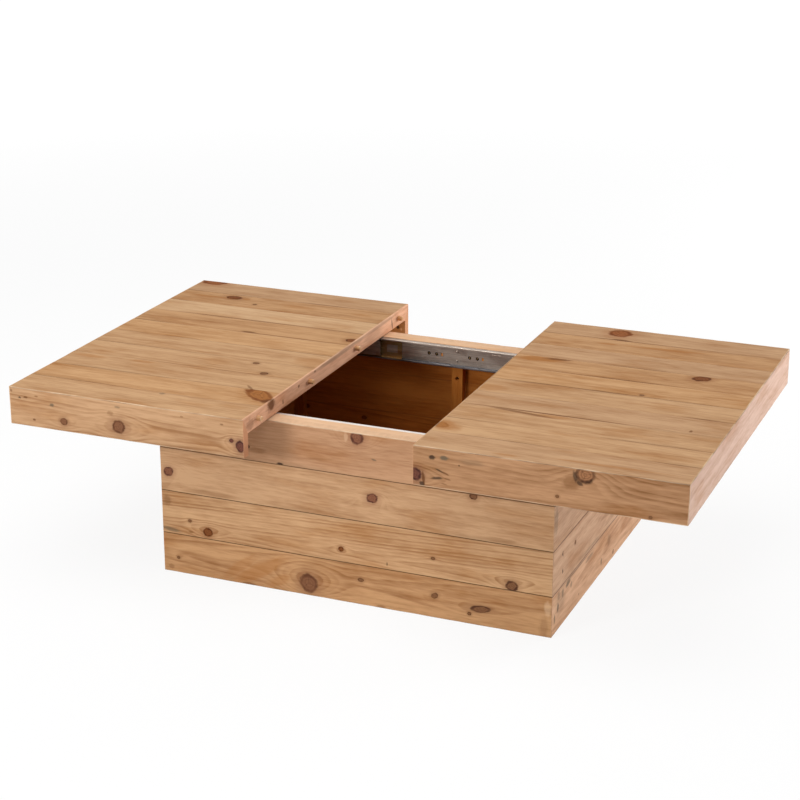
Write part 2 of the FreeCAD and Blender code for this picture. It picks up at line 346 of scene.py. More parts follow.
class Wiring:
    """Adds nodes to a shader tree and wires them."""

    def __init__(self, tree: NodeTree) -> None:
        """Keeps the tree that the nodes go into."""
        self.tree = tree

    def feed(self, socket: NodeSocket, value: Any) -> None:
        """Links an input to a signal, or sets it to a value.

        Args:
            socket: The input.
            value: The signal or the value.
        """
        if isinstance(value, Signal):
            self.tree.links.new(value.socket, socket)
        else:
            socket.default_value = value

    def add(self, kind: str, values: dict[Any, Any] | None = None, **settings: Any) -> Outputs:
        """Adds one node.

        Args:
            kind: The node's type.
            values: Signals or constants for its inputs, by name or number.
            settings: Properties of the node.

        Returns:
            What the node gives, by number and by name.
        """
        node = self.tree.nodes.new(kind)
        for name, setting in settings.items():
            setattr(node, name, setting)
        for key, value in (values or {}).items():
            self.feed(node.inputs[key], value)
        gives: Outputs = {}
        for number, socket in enumerate(node.outputs):
            gives[number] = gives[socket.name] = Signal(self, socket)
        return gives


@dataclass(frozen=True)
class Ramp:
    """A smooth step of a value: where it starts and ends, and the results before and after it."""

    start: float
    end: float
    first: float = 0.0
    last: float = 1.0


@dataclass(frozen=True)
class Signal:
    """What one output of a node gives. Every step on it adds a node to the same tree."""

    wiring: Wiring
    socket: NodeSocket

    def step(self, operation: str, *other: Any) -> "Signal":
        """Result of a Math node, or of a Vector Math node where this is a vector or colour."""
        kind = "ShaderNodeMath" if self.socket.type == "VALUE" else "ShaderNodeVectorMath"
        return self.wiring.add(kind, dict(enumerate((self, *other))), operation=operation)[0]

    def __add__(self, other: Any) -> "Signal":
        """This plus another value."""
        return self.step("ADD", other)

    def __sub__(self, other: Any) -> "Signal":
        """This less another value."""
        return self.step("SUBTRACT", other)

    def __mul__(self, other: Any) -> "Signal":
        """This times another value."""
        return self.step("MULTIPLY", other)

    def least(self, other: Any) -> "Signal":
        """The smaller of this and another value."""
        return self.step("MINIMUM", other)

    def most(self, other: Any) -> "Signal":
        """The larger of this and another value."""
        return self.step("MAXIMUM", other)

    def measure(self, operation: str, other: Any = (0.0, 0.0, 0.0)) -> "Signal":
        """Plain number that a Vector Math node gives, such as a length or a dot product."""
        return self.wiring.add("ShaderNodeVectorMath", {0: self, 1: other}, operation=operation)[1]

    def axes(self) -> list["Signal"]:
        """The three parts of a vector."""
        parts = self.wiring.add("ShaderNodeSeparateXYZ", {0: self})
        return [parts[axis] for axis in range(3)]

    def ease(self, ramp: Ramp) -> "Signal":
        """Smooth step of a value."""
        values = {0: self, 1: ramp.start, 2: ramp.end, 3: ramp.first, 4: ramp.last}
        return self.wiring.add("ShaderNodeMapRange", values, interpolation_type="SMOOTHSTEP")[0]

    def mix(self, other: Any, share: Any, blend: str = "MIX") -> "Signal":
        """Mix of this colour with a share of another."""
        values = {0: share, 6: self, 7: other}
        return self.wiring.add("ShaderNodeMix", values, data_type="RGBA", blend_type=blend)[2]

    def mapped(self, location: Any, rotation: Triple, scale: Triple = (1.0, 1.0, 1.0)) -> "Signal":
        """This place in the terms of a frame that was moved, turned and scaled."""
        values = {"Vector": self, "Location": location, "Rotation": rotation, "Scale": scale}
        return self.wiring.add("ShaderNodeMapping", values, vector_type="TEXTURE")[0]

    def noise(self, stretch: Triple, seed: Any, detail: float = 2.0, channels: bool = False) -> "Signal":
        """Noise over a place, about 0.5 on average, that can be drawn out along an axis.

        Args:
            stretch: Lumps per metre along each axis.
            seed: Number that sets one plank's noise apart from another's.
            detail: Octaves of finer noise.
            channels: Whether three values are wanted instead of one.

        Returns:
            The noise.
        """
        values = {"Vector": self * stretch, "W": seed, "Scale": 1.0, "Detail": detail}
        return self.wiring.add("ShaderNodeTexNoise", values, noise_dimensions="4D")[int(channels)]


class Effect:
    """A shader node group that several materials share. It is built once and placed with values."""

    takes: ClassVar[dict[str, str]]
    gives: ClassVar[dict[str, str]] = {"Colour": "Color"}

    @classmethod
    def wire(cls, take: Outputs) -> Outputs:
        """Wires the group.

        Args:
            take: What the group's input node gives, by name.

        Returns:
            What feeds each output, by name.
        """
        raise NotImplementedError

    @classmethod
    def tree(cls) -> NodeTree:
        """The group's tree, built on first use.

        Returns:
            The tree.
        """
        tree = bpy.data.node_groups.get(cls.__name__)
        if tree is None:
            tree = bpy.data.node_groups.new(cls.__name__, "ShaderNodeTree")
            for direction, sockets in (("INPUT", cls.takes), ("OUTPUT", cls.gives)):
                for name, kind in sockets.items():
                    tree.interface.new_socket(name=name, in_out=direction, socket_type="NodeSocket" + kind)
            wiring = Wiring(tree)
            wiring.add("NodeGroupOutput", cls.wire(wiring.add("NodeGroupInput")))
        return tree

    @classmethod
    def place(cls, wiring: Wiring, **values: Any) -> Outputs:
        """Places the group in a material's tree, with signals or constants for its inputs."""
        return wiring.add("ShaderNodeGroup", values, node_tree=cls.tree())

    @staticmethod
    def ragged(spot: Signal, seed: Signal, lumps: Triple, share: float) -> tuple[Signal, Signal]:
        """Flat coordinates round a spot, and a distance from its middle that wanders in and out."""
        flat = spot * (1.0, 1.0, 0.0)
        return flat, flat.measure("LENGTH") + (flat.noise(lumps, seed, detail=4.0) - 0.5) * share

    @staticmethod
    def gaps(take: Outputs) -> list[Signal]:
        """How far a place lies inside the nearer face of a box, along each axis."""
        return (take["Where"] - take["Low"]).least(take["High"] - take["Where"]).axes()


class GrowthRings(Effect):
    """Distance from the heart of the tree, wandering along the grain."""

    takes = dict(Place="Vector", Heart="Vector", Start="Float", Taper="Float", Wander="Float", Seed="Float")
    gives = dict(Distance="Float")

    SWAY = (2.2, 7.0, 7.0)

    @classmethod
    def wire(cls, take: Outputs) -> Outputs:
        """Wires the group.

        Args:
            take: What the group's input node gives, by name.

        Returns:
            What feeds each output, by name.
        """
        place, heart = take["Place"], take["Heart"]
        sway = place.noise(cls.SWAY, take["Seed"], channels=True) - (0.5, 0.5, 0.5)
        beside = (place + sway * take["Wander"] - heart) * (0.0, 1.0, 1.0)
        ahead = (place - heart).axes()[0]
        return {"Distance": beside.measure("LENGTH") - (ahead * take["Taper"] + take["Start"])}


class KnotSwirl(Effect):
    """Pushes the growth rings aside round a knot."""

    takes = dict(Distance="Float", Knot="Vector", Push="Float")
    gives = dict(Distance="Float")

    LENGTHEN = (0.55, 0.85, 1.0)
    REACH = Ramp(0.0, 3.6, 1.0, 0.0)
    SHARPNESS = 1.6

    @classmethod
    def wire(cls, take: Outputs) -> Outputs:
        """Wires the group.

        Args:
            take: What the group's input node gives, by name.

        Returns:
            What feeds each output, by name.
        """
        far = (take["Knot"] * cls.LENGTHEN).measure("LENGTH")
        bulge = far.ease(cls.REACH).step("POWER", cls.SHARPNESS)
        return {"Distance": take["Distance"] - bulge * take["Push"]}


class PineTone(Effect):
    """Colour and relief of pine from its growth rings, fibres, streaks and resin flecks."""

    takes = dict(Distance="Float", Place="Vector", Spacing="Float", Early="Color", Late="Color",
                 Contrast="Float", Seed="Float")
    gives = dict(Colour="Color", Relief="Float", Dullness="Float")

    WAVER = (5.0, 90.0, 90.0)
    WAVER_SHARE = 0.55
    LATE_RISE = Ramp(0.15, 0.84)
    LATE_FALL = Ramp(0.86, 1.0, 1.0, 0.0)
    RING_SEED = 13.0
    RING_STRENGTH = Ramp(0.0, 1.0, 0.25, 1.0)
    RING_FADE = Ramp(0.36, 0.60, 0.45, 1.0)
    LAYERS = (((34.0, 290.0, 290.0), 1.2), ((3.0, 62.0, 62.0), 1.1), ((7.0, 26.0, 26.0), 1.45))
    BASE_SHADE = 0.26
    WARMTH = Ramp(0.50, 0.72, 0.0, 0.40)
    WARM: Colour = (0.96, 0.80, 0.58, 1.0)
    FLECKS = (38.0, 520.0, 520.0)
    FLECK_MASK = Ramp(0.68, 0.80)
    FLECK_SHARE = 0.45
    FLECK: Colour = (0.62, 0.48, 0.36, 1.0)
    LATE_RELIEF = 0.5
    FIBRE_RELIEF = 0.7
    STREAK_DULLNESS = Ramp(0.3, 0.7, 0.56, 0.70)
    FIBRE_DULLNESS = 0.08

    @classmethod
    def rings(cls, take: Outputs) -> Signal:
        """Share of late wood from 0 to 1, with every ring of its own strength.

        Args:
            take: What the group's input node gives, by name.

        Returns:
            The share.
        """
        turns = take["Distance"].step("DIVIDE", take["Spacing"])
        turns = turns + take["Place"].noise(cls.WAVER, take["Seed"]) * cls.WAVER_SHARE
        along = turns.step("FRACT")
        ring = turns.step("FLOOR") + take["Seed"] * cls.RING_SEED
        lot = ring.wiring.add("ShaderNodeTexWhiteNoise", {"W": ring}, noise_dimensions="1D")[0]
        return along.ease(cls.LATE_RISE) * along.ease(cls.LATE_FALL) * lot.ease(cls.RING_STRENGTH)

    @classmethod
    def wire(cls, take: Outputs) -> Outputs:
        """Wires the group.

        Args:
            take: What the group's input node gives, by name.

        Returns:
            What feeds each output, by name.
        """
        place, seed = take["Place"], take["Seed"]
        late = cls.rings(take)
        layers = [place.noise(stretch, seed, detail=3.0) for stretch, _ in cls.LAYERS]
        fibres, streaks, clouds = layers
        flecks = place.noise(cls.FLECKS, seed, detail=1.0).ease(cls.FLECK_MASK)
        shade = late * streaks.ease(cls.RING_FADE) * take["Contrast"]
        for layer, (_, weight) in zip(layers, cls.LAYERS):
            shade = shade + (layer - 0.5) * weight
        colour = take["Early"].mix(take["Late"], shade + cls.BASE_SHADE)
        colour = colour.mix(cls.WARM, clouds.ease(cls.WARMTH), "MULTIPLY")
        colour = colour.mix(cls.FLECK, flecks * cls.FLECK_SHARE, "MULTIPLY")
        relief = late * cls.LATE_RELIEF + fibres * cls.FIBRE_RELIEF - flecks
        dull = streaks.ease(cls.STREAK_DULLNESS) + fibres * cls.FIBRE_DULLNESS
        return {"Colour": colour, "Relief": relief, "Dullness": dull}


class KnotFace(Effect):
    """Paints a knot: ringed heart, dark bark rim, warm halo and drying cracks."""

    takes = dict(Colour="Color", Knot="Vector", Heart="Color", Rim="Color", Halo="Float", Seed="Float")

    LUMPS = (1.4, 1.4, 1.4)
    RAGGED = 0.74
    HALO = Ramp(0.9, 2.3, 1.0, 0.0)
    RINGS = 19.0
    RING_SHARE = 0.165
    GRAIN = (5.0, 5.0, 5.0)
    GRAIN_SHARE = 0.5625
    HEART = Ramp(0.80, 1.08, 1.0, 0.0)
    RIM_RISE = Ramp(0.50, 0.86)
    RIM_FALL = Ramp(0.88, 1.16, 1.0, 0.0)
    BREAKS = (1.1, 1.1, 1.1)
    BROKEN = Ramp(0.34, 0.58, 0.35, 1.0)
    SPOKES = 1.5
    CRACK = Ramp(0.02, 0.16, 1.0, 0.0)
    CRACK_REACH = Ramp(0.35, 0.7, 1.0, 0.0)
    CRACK_SHARE = 0.6

    @classmethod
    def wire(cls, take: Outputs) -> Outputs:
        """Wires the group.

        Args:
            take: What the group's input node gives, by name.

        Returns:
            What feeds each output, by name.
        """
        heart, rim, seed = take["Heart"], take["Rim"], take["Seed"]
        flat, far = cls.ragged(take["Knot"], seed, cls.LUMPS, cls.RAGGED)
        colour = take["Colour"].mix(heart, far.ease(cls.HALO) * take["Halo"])
        waves = (far * cls.RINGS).step("SINE")
        ringed = waves * cls.RING_SHARE + flat.noise(cls.GRAIN, seed, detail=4.0) * cls.GRAIN_SHARE
        colour = colour.mix(heart.mix(rim, ringed), far.ease(cls.HEART))
        broken = flat.noise(cls.BREAKS, seed).ease(cls.BROKEN)
        colour = colour.mix(rim, far.ease(cls.RIM_RISE) * far.ease(cls.RIM_FALL) * broken)
        parts = flat.axes()
        angle = parts[1].step("ARCTAN2", parts[0])
        spoke = (angle * cls.SPOKES + seed).step("SINE").step("ABSOLUTE")
        crack = spoke.ease(cls.CRACK) * far.ease(cls.CRACK_REACH)
        return {"Colour": colour.mix(Stain.INK.value, crack * cls.CRACK_SHARE)}


class Blemish(Effect):
    """Mask of a ragged stain or dent with a soft border."""

    takes = dict(Spot="Vector", Strength="Float", Seed="Float")
    gives = dict(Mask="Float")

    LUMPS = (1.9, 1.9, 1.9)
    RAGGED = 0.9
    BORDER = Ramp(0.45, 1.15, 1.0, 0.0)

    @classmethod
    def wire(cls, take: Outputs) -> Outputs:
        """Wires the group. See Effect.wire."""
        far = cls.ragged(take["Spot"], take["Seed"], cls.LUMPS, cls.RAGGED)[1]
        return {"Mask": far.ease(cls.BORDER) * take["Strength"]}


class JointGrime(Effect):
    """Dark dirt along the two long edges of a plank's face, of which a share shows everywhere."""

    takes = dict(Colour="Color", Place="Vector", Half="Float", Strength="Float", Whole="Float", Seed="Float")

    PATCHES = (4.0, 9.0, 9.0)
    SHOWN = Ramp(0.44, 0.62)
    LINE = Ramp(0.3 * MM, 1.4 * MM, 1.0, 0.0)
    SMEAR = Ramp(0.0, 12 * MM, 0.28, 0.0)
    SMEARED = Ramp(0.5, 0.7)
    DIRT = srgb(70, 50, 36)

    @classmethod
    def wire(cls, take: Outputs) -> Outputs:
        """Wires the group.

        Args:
            take: What the group's input node gives, by name.

        Returns:
            What feeds each output, by name.
        """
        inside = take["Half"] - take["Place"].axes()[1].step("ABSOLUTE")
        worn = take["Place"].noise(cls.PATCHES, take["Seed"])
        line = inside.ease(cls.LINE) * worn.ease(cls.SHOWN).most(take["Whole"])
        smear = inside.ease(cls.SMEAR) * worn.ease(cls.SMEARED)
        return {"Colour": take["Colour"].mix(cls.DIRT, line.most(smear) * take["Strength"])}


class WornEdgeHighlight(Effect):
    """Pale handling wear along the outside edges of a sub-assembly, and a painted highlight on their rounded
    arrises.
    """

    takes = dict(Colour="Color", Where="Vector", Low="Vector", High="Vector", Strength="Float", Seed="Float")

    LUMPS = (17.0, 17.0, 17.0)
    RUBBED = Ramp(0.36, 0.64, 0.13, 1.0)
    NEAR = Ramp(0.5 * MM, 2.6 * MM, 1.0, 0.0)
    # Pale bare wood that is also a painted highlight on the arrises.
    BARE_AND_HIGHLIGHT = srgb(232, 204, 172)

    @classmethod
    def wire(cls, take: Outputs) -> Outputs:
        """Wires the group.

        Args:
            take: What the group's input node gives, by name.

        Returns:
            What feeds each output, by name.
        """
        first, second, third = cls.gaps(take)
        edge = first.least(second).most(first.most(second).least(third))
        rubbed = take["Where"].noise(cls.LUMPS, take["Seed"], detail=3.0).ease(cls.RUBBED)
        return {"Colour": take["Colour"].mix(cls.BARE_AND_HIGHLIGHT, edge.ease(cls.NEAR) * rubbed * take["Strength"])}


class SawnFace(Effect):
    """Raw pale wood with saw strokes on a face that was cut and never finished."""

    takes = dict(Colour="Color", Place="Vector", Direction="Vector", Reach="Float", Bare="Color",
                 Seed="Float")

    STROKES = (120.0, 260.0, 60.0)
    STROKE_SHARE = Ramp(0.3, 0.7, 0.88, 1.0)
    SKIN = Ramp(-0.6 * MM, -0.1 * MM)

    @classmethod
    def wire(cls, take: Outputs) -> Outputs:
        """Wires the group.

        Args:
            take: What the group's input node gives, by name.

        Returns:
            What feeds each output, by name.
        """
        out = take["Place"].measure("DOT_PRODUCT", take["Direction"]) - take["Reach"]
        strokes = take["Place"].noise(cls.STROKES, take["Seed"], detail=3.0).ease(cls.STROKE_SHARE)
        return {"Colour": take["Colour"].mix(take["Bare"], out.ease(cls.SKIN) * strokes)}


class WellBox(Effect):
    """Mask of the timber that faces the storage well."""

    takes = dict(Where="Vector", Low="Vector", High="Vector")
    gives = dict(Mask="Float")

    SKIN = Ramp(-1.2 * MM, -0.4 * MM)

    @classmethod
    def wire(cls, take: Outputs) -> Outputs:
        """Wires the group. See Effect.wire."""
        return {"Mask": reduce(Signal.least, cls.gaps(take)).ease(cls.SKIN)}


class RolledMetal(Effect):
    """Rolling lines, scuffs and grease on thin metal sheet."""

    takes = dict(Place="Vector", Bright="Color", Dark="Color", Seed="Float")
    gives = dict(Colour="Color", Relief="Float", Dullness="Float")

    LINES = (6.0, 900.0, 900.0)
    LINE_SHARE = 0.55
    GREASE = (22.0, 40.0, 70.0)
    GREASE_SHARE = 0.65
    SHADE = Ramp(0.40, 0.80)
    GREASE_DULLNESS = Ramp(0.35, 0.65, 0.30, 0.48)
    SPANGLE = (180.0, 180.0, 180.0)
    SPANGLE_DULLNESS = 0.10

    @classmethod
    def wire(cls, take: Outputs) -> Outputs:
        """Wires the group.

        Args:
            take: What the group's input node gives, by name.

        Returns:
            What feeds each output, by name.
        """
        place, seed = take["Place"], take["Seed"]
        lines = place.noise(cls.LINES, seed, detail=3.0)
        grease = place.noise(cls.GREASE, seed, detail=3.0)
        shade = lines * cls.LINE_SHARE + grease * cls.GREASE_SHARE
        dull = grease.ease(cls.GREASE_DULLNESS) + place.noise(cls.SPANGLE, seed) * cls.SPANGLE_DULLNESS
        colour = take["Bright"].mix(take["Dark"], shade.ease(cls.SHADE))
        return {"Colour": colour, "Relief": lines, "Dullness": dull}


@dataclass(frozen=True)
class Blank:
    """A new material with its wiring, the places on its object and its Principled shader."""

    material: Material
    wiring: Wiring
    where: Signal
    shader: Node

    @classmethod
    def start(cls, name: str) -> "Blank":
        """Starts a material under a name.

        Args:
            name: The material's name.

        Returns:
            The material with its parts.
        """
        material = bpy.data.materials.new(name)
        material.use_nodes = True
        wiring = Wiring(material.node_tree)
        where = wiring.add("ShaderNodeTexCoord")["Object"]
        return cls(material, wiring, where, material.node_tree.nodes["Principled BSDF"])

    def feed(self, values: dict[str, Any]) -> None:
        """Links or sets inputs of the shader by name."""
        for name, value in values.items():
            self.wiring.feed(self.shader.inputs[name], value)

    def bump(self, relief: Signal, strength: float, height: float) -> Signal:
        """Normals of a surface with a relief."""
        values = {"Height": relief, "Strength": strength, "Distance": height}
        return self.wiring.add("ShaderNodeBump", values)[0]


class PlankSurface:
    """A plank's material in the making, with the places on the plank and the tree it came from."""

    SEEDS = 40.0

    def __init__(self, name: str, block: Block, lie: Lie, timber: Timber) -> None:
        """Starts the material.

        Args:
            name: The plank's name.
            block: The plank's box.
            lie: How the plank lies.
            timber: What is particular to the plank.
        """
        lot = random.Random(name)
        self.seed = lot.uniform(0.0, self.SEEDS)
        self.blank = Blank.start("pine_" + name)
        self.wiring = self.blank.wiring
        self.place = self.blank.where.mapped(block.centre, lie.value)
        self.middle = lie.local(block.centre)
        self.half = Vector([abs(part) for part in lie.local(block.size) / 2])
        self.timber = timber
        self.tree = Log.drawn(timber.cut.value, lot)
        if timber.arches:
            self.tree = Log.arched(timber.arches, self.middle, self.half.z)

    def around(self, spot: Spot) -> Signal:
        """Coordinates round a knot or mark, with a length of 1 at its border.

        Args:
            spot: The knot or mark.

        Returns:
            The coordinates.
        """
        centre = (spot.along * MM - self.middle.x, spot.across * MM - self.middle.y, 0.0)
        radii = (spot.length * MM / 2, spot.width * MM / 2, 1.0)
        return self.place.mapped(centre, (0.0, 0.0, math.radians(spot.turn)), radii)

    def grown(self) -> Outputs:
        """The pine as it grew: rings that part round the knots, and the knots.

        Returns:
            Its colour, relief and dullness, by name.
        """
        tree, seed = self.tree, self.seed
        rings = GrowthRings.place(self.wiring, Place=self.place, Heart=tree.heart, Start=tree.start,
                                  Taper=tree.taper, Wander=tree.wander, Seed=seed)["Distance"]
        knots = [(knot, self.around(knot)) for knot in self.timber.knots]
        for knot, spot in knots:
            push = knot.look.push * min(knot.length, knot.width) * MM
            rings = KnotSwirl.place(self.wiring, Distance=rings, Knot=spot, Push=push)["Distance"]
        early, late = self.timber.tone.value
        pine = PineTone.place(self.wiring, Distance=rings, Place=self.place, Spacing=tree.spacing,
                              Early=early, Late=late, Contrast=tree.contrast, Seed=seed)
        for count, (knot, spot) in enumerate(knots):
            look = knot.look
            face = KnotFace.place(self.wiring, Colour=pine["Colour"], Knot=spot, Heart=look.heart,
                                  Rim=look.rim, Halo=look.halo, Seed=seed + count)
            pine["Colour"] = face["Colour"]
        return pine

    def stained(self, colour: Signal) -> Signal:
        """A colour with the plank's marks on it.

        Args:
            colour: The colour beneath.

        Returns:
            The marked colour.
        """
        for stain in Stain:
            marks = [mark for mark in self.timber.marks if mark.stain is stain]
            masks = [Blemish.place(self.wiring, Spot=self.around(mark), Strength=mark.strength,
                                   Seed=self.seed - count)["Mask"] for count, mark in enumerate(marks)]
            if masks:
                colour = colour.mix(stain.value, reduce(Signal.most, masks))
        return colour

    def sawn(self, colour: Signal) -> Signal:
        """A colour with bare wood on the faces that were left raw from the saw.

        Args:
            colour: The colour of the other faces.

        Returns:
            The colour of all faces.
        """
        for face in self.timber.sawn:
            look = face.value
            reach = abs(self.half.dot(Vector(look.direction)))
            colour = SawnFace.place(self.wiring, Colour=colour, Place=self.place, Direction=look.direction,
                                    Reach=reach, Bare=look.bare, Seed=self.seed)["Colour"]
        return colour


@dataclass(frozen=True)
class PineFinish:
    """Oiled and waxed old pine, deep brown where it faces the storage well. Builds one plank's material."""

    bump: float = 0.35
    bump_height: float = 0.5 * MM
    specular: float = 0.03
    grime: float = 0.85
    patchy: float = 0.0
    # Strength of the pale edges: handling wear and a painted highlight on the rounded arrises.
    worn: float = 0.75
    well: Block | None = None
    deep: Colour = (0.84, 0.50, 0.18, 1.0)
    inner_grime: float = 0.3

    def material(self, name: str, block: Block, outside: Block, lie: Lie, timber: Timber) -> Material:
        """Builds a plank's material.

        Args:
            name: The plank's name.
            block: The plank's box.
            outside: Box of the sub-assembly whose outside edges are worn.
            lie: How the plank lies.
            timber: What is particular to the plank.

        Returns:
            The material.
        """
        surface = PlankSurface(name, block, lie, timber)
        blank, wiring, seed = surface.blank, surface.wiring, surface.seed
        pine = surface.grown()
        colour = surface.stained(pine["Colour"])
        grime: Any = self.grime
        if self.well:
            inside = WellBox.place(wiring, Where=blank.where, Low=self.well.low, High=self.well.high)["Mask"]
            colour = colour.mix(self.deep, inside, "MULTIPLY")
            grime = inside.ease(Ramp(0.0, 1.0, 1.0, self.inner_grime)) * self.grime
        colour = JointGrime.place(wiring, Colour=colour, Place=surface.place, Half=surface.half.y,
                                  Strength=grime, Whole=1.0 - self.patchy, Seed=seed)["Colour"]
        colour = surface.sawn(colour)
        # Pale outside edges: wear, and a painted highlight on the arrises.
        colour = WornEdgeHighlight.place(wiring, Colour=colour, Where=blank.where, Low=outside.low, High=outside.high,
                                Strength=self.worn, Seed=seed)["Colour"]
        blank.feed({"Base Color": colour, "Roughness": pine["Dullness"], "Specular IOR Level": self.specular,
                    "Normal": blank.bump(pine["Relief"], self.bump, self.bump_height)})
        return blank.material


@dataclass(frozen=True)
class MetalFinish:
    """Rolled or turned metal, with a painted cool reflection below a height. Builds one material."""

    name: str
    bright: Colour
    dark: Colour
    cool_below: float = 0.0
    cool_fade: float = 1 * MM
    # Colour of the painted reflection on the metal below cool_below.
    cool: Colour = srgb(124, 122, 124)
    bump: float = 0.04
    bump_height: float = 0.2 * MM

    def material(self) -> Material:
        """The metal's material, built on first use.

        Returns:
            The material.
        """
        if self.name in bpy.data.materials:
            return bpy.data.materials[self.name]
        blank = Blank.start(self.name)
        sheet = RolledMetal.place(blank.wiring, Place=blank.where, Bright=self.bright, Dark=self.dark,
                                  Seed=float(len(self.name)))
        # Painted reflection: the cool colour below a height.
        low = blank.where.axes()[2].ease(Ramp(self.cool_below - self.cool_fade, self.cool_below, 1.0, 0.0))
        blank.feed({"Base Color": sheet["Colour"].mix(self.cool, low), "Roughness": sheet["Dullness"],
                    "Normal": blank.bump(sheet["Relief"], self.bump, self.bump_height), "Metallic": 1.0})
        return blank.material


@dataclass(frozen=True)
class Bore:
    """A round hole in a plank, blind or right through, in metres."""

    mouth: Vector
    outward: Vector
    radius: float
    depth: float
    through: bool


@dataclass(frozen=True)
class Mitre:
    """A straight or sloping cut: a point on it and the direction of what is cut off."""

    point: Vector
    outward: Vector


class Workpiece:
    """A solid under the tools, which starts as a squared block."""

    ALIKE = 0.999
    DISC_CUTS = 2
    WORN_BREADTH = 6 * MM
    WORN_LUMPS = 34.0
    WORN_GRIT = 110.0
    GRIT_SHARE = 0.6
    DENT_BORDER = 12 * MM
    DENT_CUTS = 7

    def __init__(self, block: Block) -> None:
        """Squares a block to a box.

        Args:
            block: The block.
        """
        self.block = block
        self.mesh = bmesh.new()
        bmesh.ops.create_cube(self.mesh, size=1.0)
        bmesh.ops.scale(self.mesh, vec=block.size, verts=self.mesh.verts)
        bmesh.ops.translate(self.mesh, vec=block.centre, verts=self.mesh.verts)

    def round_edges(self, chosen: Callable[[Vector, Vector], bool], radius: float, segments: int) -> None:
        """Rounds the edges that a test picks.

        Args:
            chosen: Test on an edge's two ends.
            radius: Width of the rounding.
            segments: Faces across it.
        """
        edges = [edge for edge in self.mesh.edges if chosen(edge.verts[0].co, edge.verts[1].co)]
        bmesh.ops.bevel(self.mesh, geom=edges, offset=radius, offset_type="OFFSET", affect="EDGES",
                        segments=segments, profile=0.5, material=-1, clamp_overlap=True)

    def divide(self, point: Vector, normal: Vector, **options: bool) -> list[BMEdge]:
        """Divides the faces by a plane.

        Args:
            point: A point in the plane.
            normal: The way the plane looks.
            options: Further settings of the operator.

        Returns:
            The edges in the plane.
        """
        solid = self.mesh.verts[:] + self.mesh.edges[:] + self.mesh.faces[:]
        cut = bmesh.ops.bisect_plane(self.mesh, geom=solid, dist=WELD, plane_co=point, plane_no=normal,
                                     **options)
        return [part for part in cut["geom_cut"] if isinstance(part, BMEdge)]

    def cut_off(self, mitre: Mitre) -> None:
        """Saws off what lies beyond a cut and closes it."""
        border = self.divide(mitre.point, mitre.outward.normalized(), clear_outer=True)
        bmesh.ops.edgeloop_fill(self.mesh, edges=border)

    def slice(self, axis: int, places: Iterable[float]) -> None:
        """Divides the faces by planes at some places along an axis.

        Args:
            axis: Number of the axis.
            places: Where on the axis the planes are.
        """
        for place in places:
            point = self.block.centre.copy()
            point[axis] = place
            self.divide(point, AXES[axis])

    def bore(self, hole: Bore) -> None:
        """Drills a round hole.

        Args:
            hole: The hole.
        """
        inward = -hole.outward * hole.depth
        if hole.through:
            rims: list[BMEdge] = []
            for mouth, outward in ((hole.mouth, hole.outward), (hole.mouth + inward, -hole.outward)):
                disc = self.disc(mouth, outward, hole.radius)
                rims += self.rim(disc)
                bmesh.ops.delete(self.mesh, geom=disc, context="FACES")
            bmesh.ops.bridge_loops(self.mesh, edges=rims)
        else:
            disc = self.disc(hole.mouth, hole.outward, hole.radius)
            drawn = bmesh.ops.extrude_face_region(self.mesh, geom=disc)["geom"]
            bmesh.ops.delete(self.mesh, geom=disc, context="FACES")
            verts = [part for part in drawn if isinstance(part, BMVert)]
            bmesh.ops.translate(self.mesh, vec=inward, verts=verts)

    @staticmethod
    def rim(disc: list[BMFace]) -> list[BMEdge]:
        """Edges round a set of faces."""
        edges = {edge for face in disc for edge in face.edges}
        return [edge for edge in edges if sum(face in disc for face in edge.link_faces) == 1]

    def disc(self, mouth: Vector, outward: Vector, radius: float) -> list[BMFace]:
        """Marks a round place on an upright end face: squares it off, divides it and draws it to a circle.

        Args:
            mouth: Its middle.
            outward: The way the face looks, along X.
            radius: Its radius.

        Returns:
            The faces inside the circle.
        """
        sides = AXES[1:]
        for side in sides:
            for offset in (-radius, 0.0, radius):
                facing = self.facing(outward, mouth)
                parts = set(facing)
                for face in facing:
                    parts.update(face.edges)
                    parts.update(face.verts)
                bmesh.ops.bisect_plane(self.mesh, geom=list(parts), dist=FINE_WELD,
                                       plane_co=mouth + side * offset, plane_no=side)

        def inside() -> list[BMFace]:
            """Faces within the square."""
            return [face for face in self.facing(outward, mouth)
                    if max(abs((face.calc_center_median() - mouth).dot(side)) for side in sides) < radius]

        edges = list({edge for face in inside() for edge in face.edges})
        bmesh.ops.subdivide_edges(self.mesh, edges=edges, cuts=self.DISC_CUTS, use_grid_fill=True)
        disc = inside()
        for vert in {vert for face in disc for vert in face.verts}:
            flat = vert.co - mouth
            if flat.length > 0.0:
                vert.co = mouth + flat * (max(abs(flat.dot(side)) for side in sides) / flat.length)
        return disc

    def facing(self, outward: Vector, point: Vector) -> list[BMFace]:
        """Faces that look one way and lie in one plane through a point.

        Args:
            outward: The way they look.
            point: The point.

        Returns:
            The faces.
        """
        self.mesh.normal_update()
        return [face for face in self.mesh.faces
                if face.normal.dot(outward) > self.ALIKE
                and abs((face.calc_center_median() - point).dot(outward)) < SAME_FACE]

    def wear(self, outside: Block, depth: float, seed: float) -> None:
        """Rubs the outside edges down unevenly.

        Args:
            outside: Box of the sub-assembly whose edges are worn.
            depth: Most that is worn away.
            seed: Number that sets one plank's wear apart from another's.
        """
        self.mesh.normal_update()
        for vert in self.mesh.verts:
            near = max(0.0, 1.0 - outside.edge_distance(vert.co) / self.WORN_BREADTH)
            inward = Vector([math.copysign(1.0, part) for part in outside.centre - vert.co])
            if near > 0.0 and vert.normal.dot(inward) < 0.0:
                rough = noise.noise(vert.co * self.WORN_LUMPS + seed * AXES[0])
                rough += self.GRIT_SHARE * noise.noise(vert.co * self.WORN_GRIT + seed * AXES[1])
                vert.co -= vert.normal * (depth * near * near * max(0.0, rough))

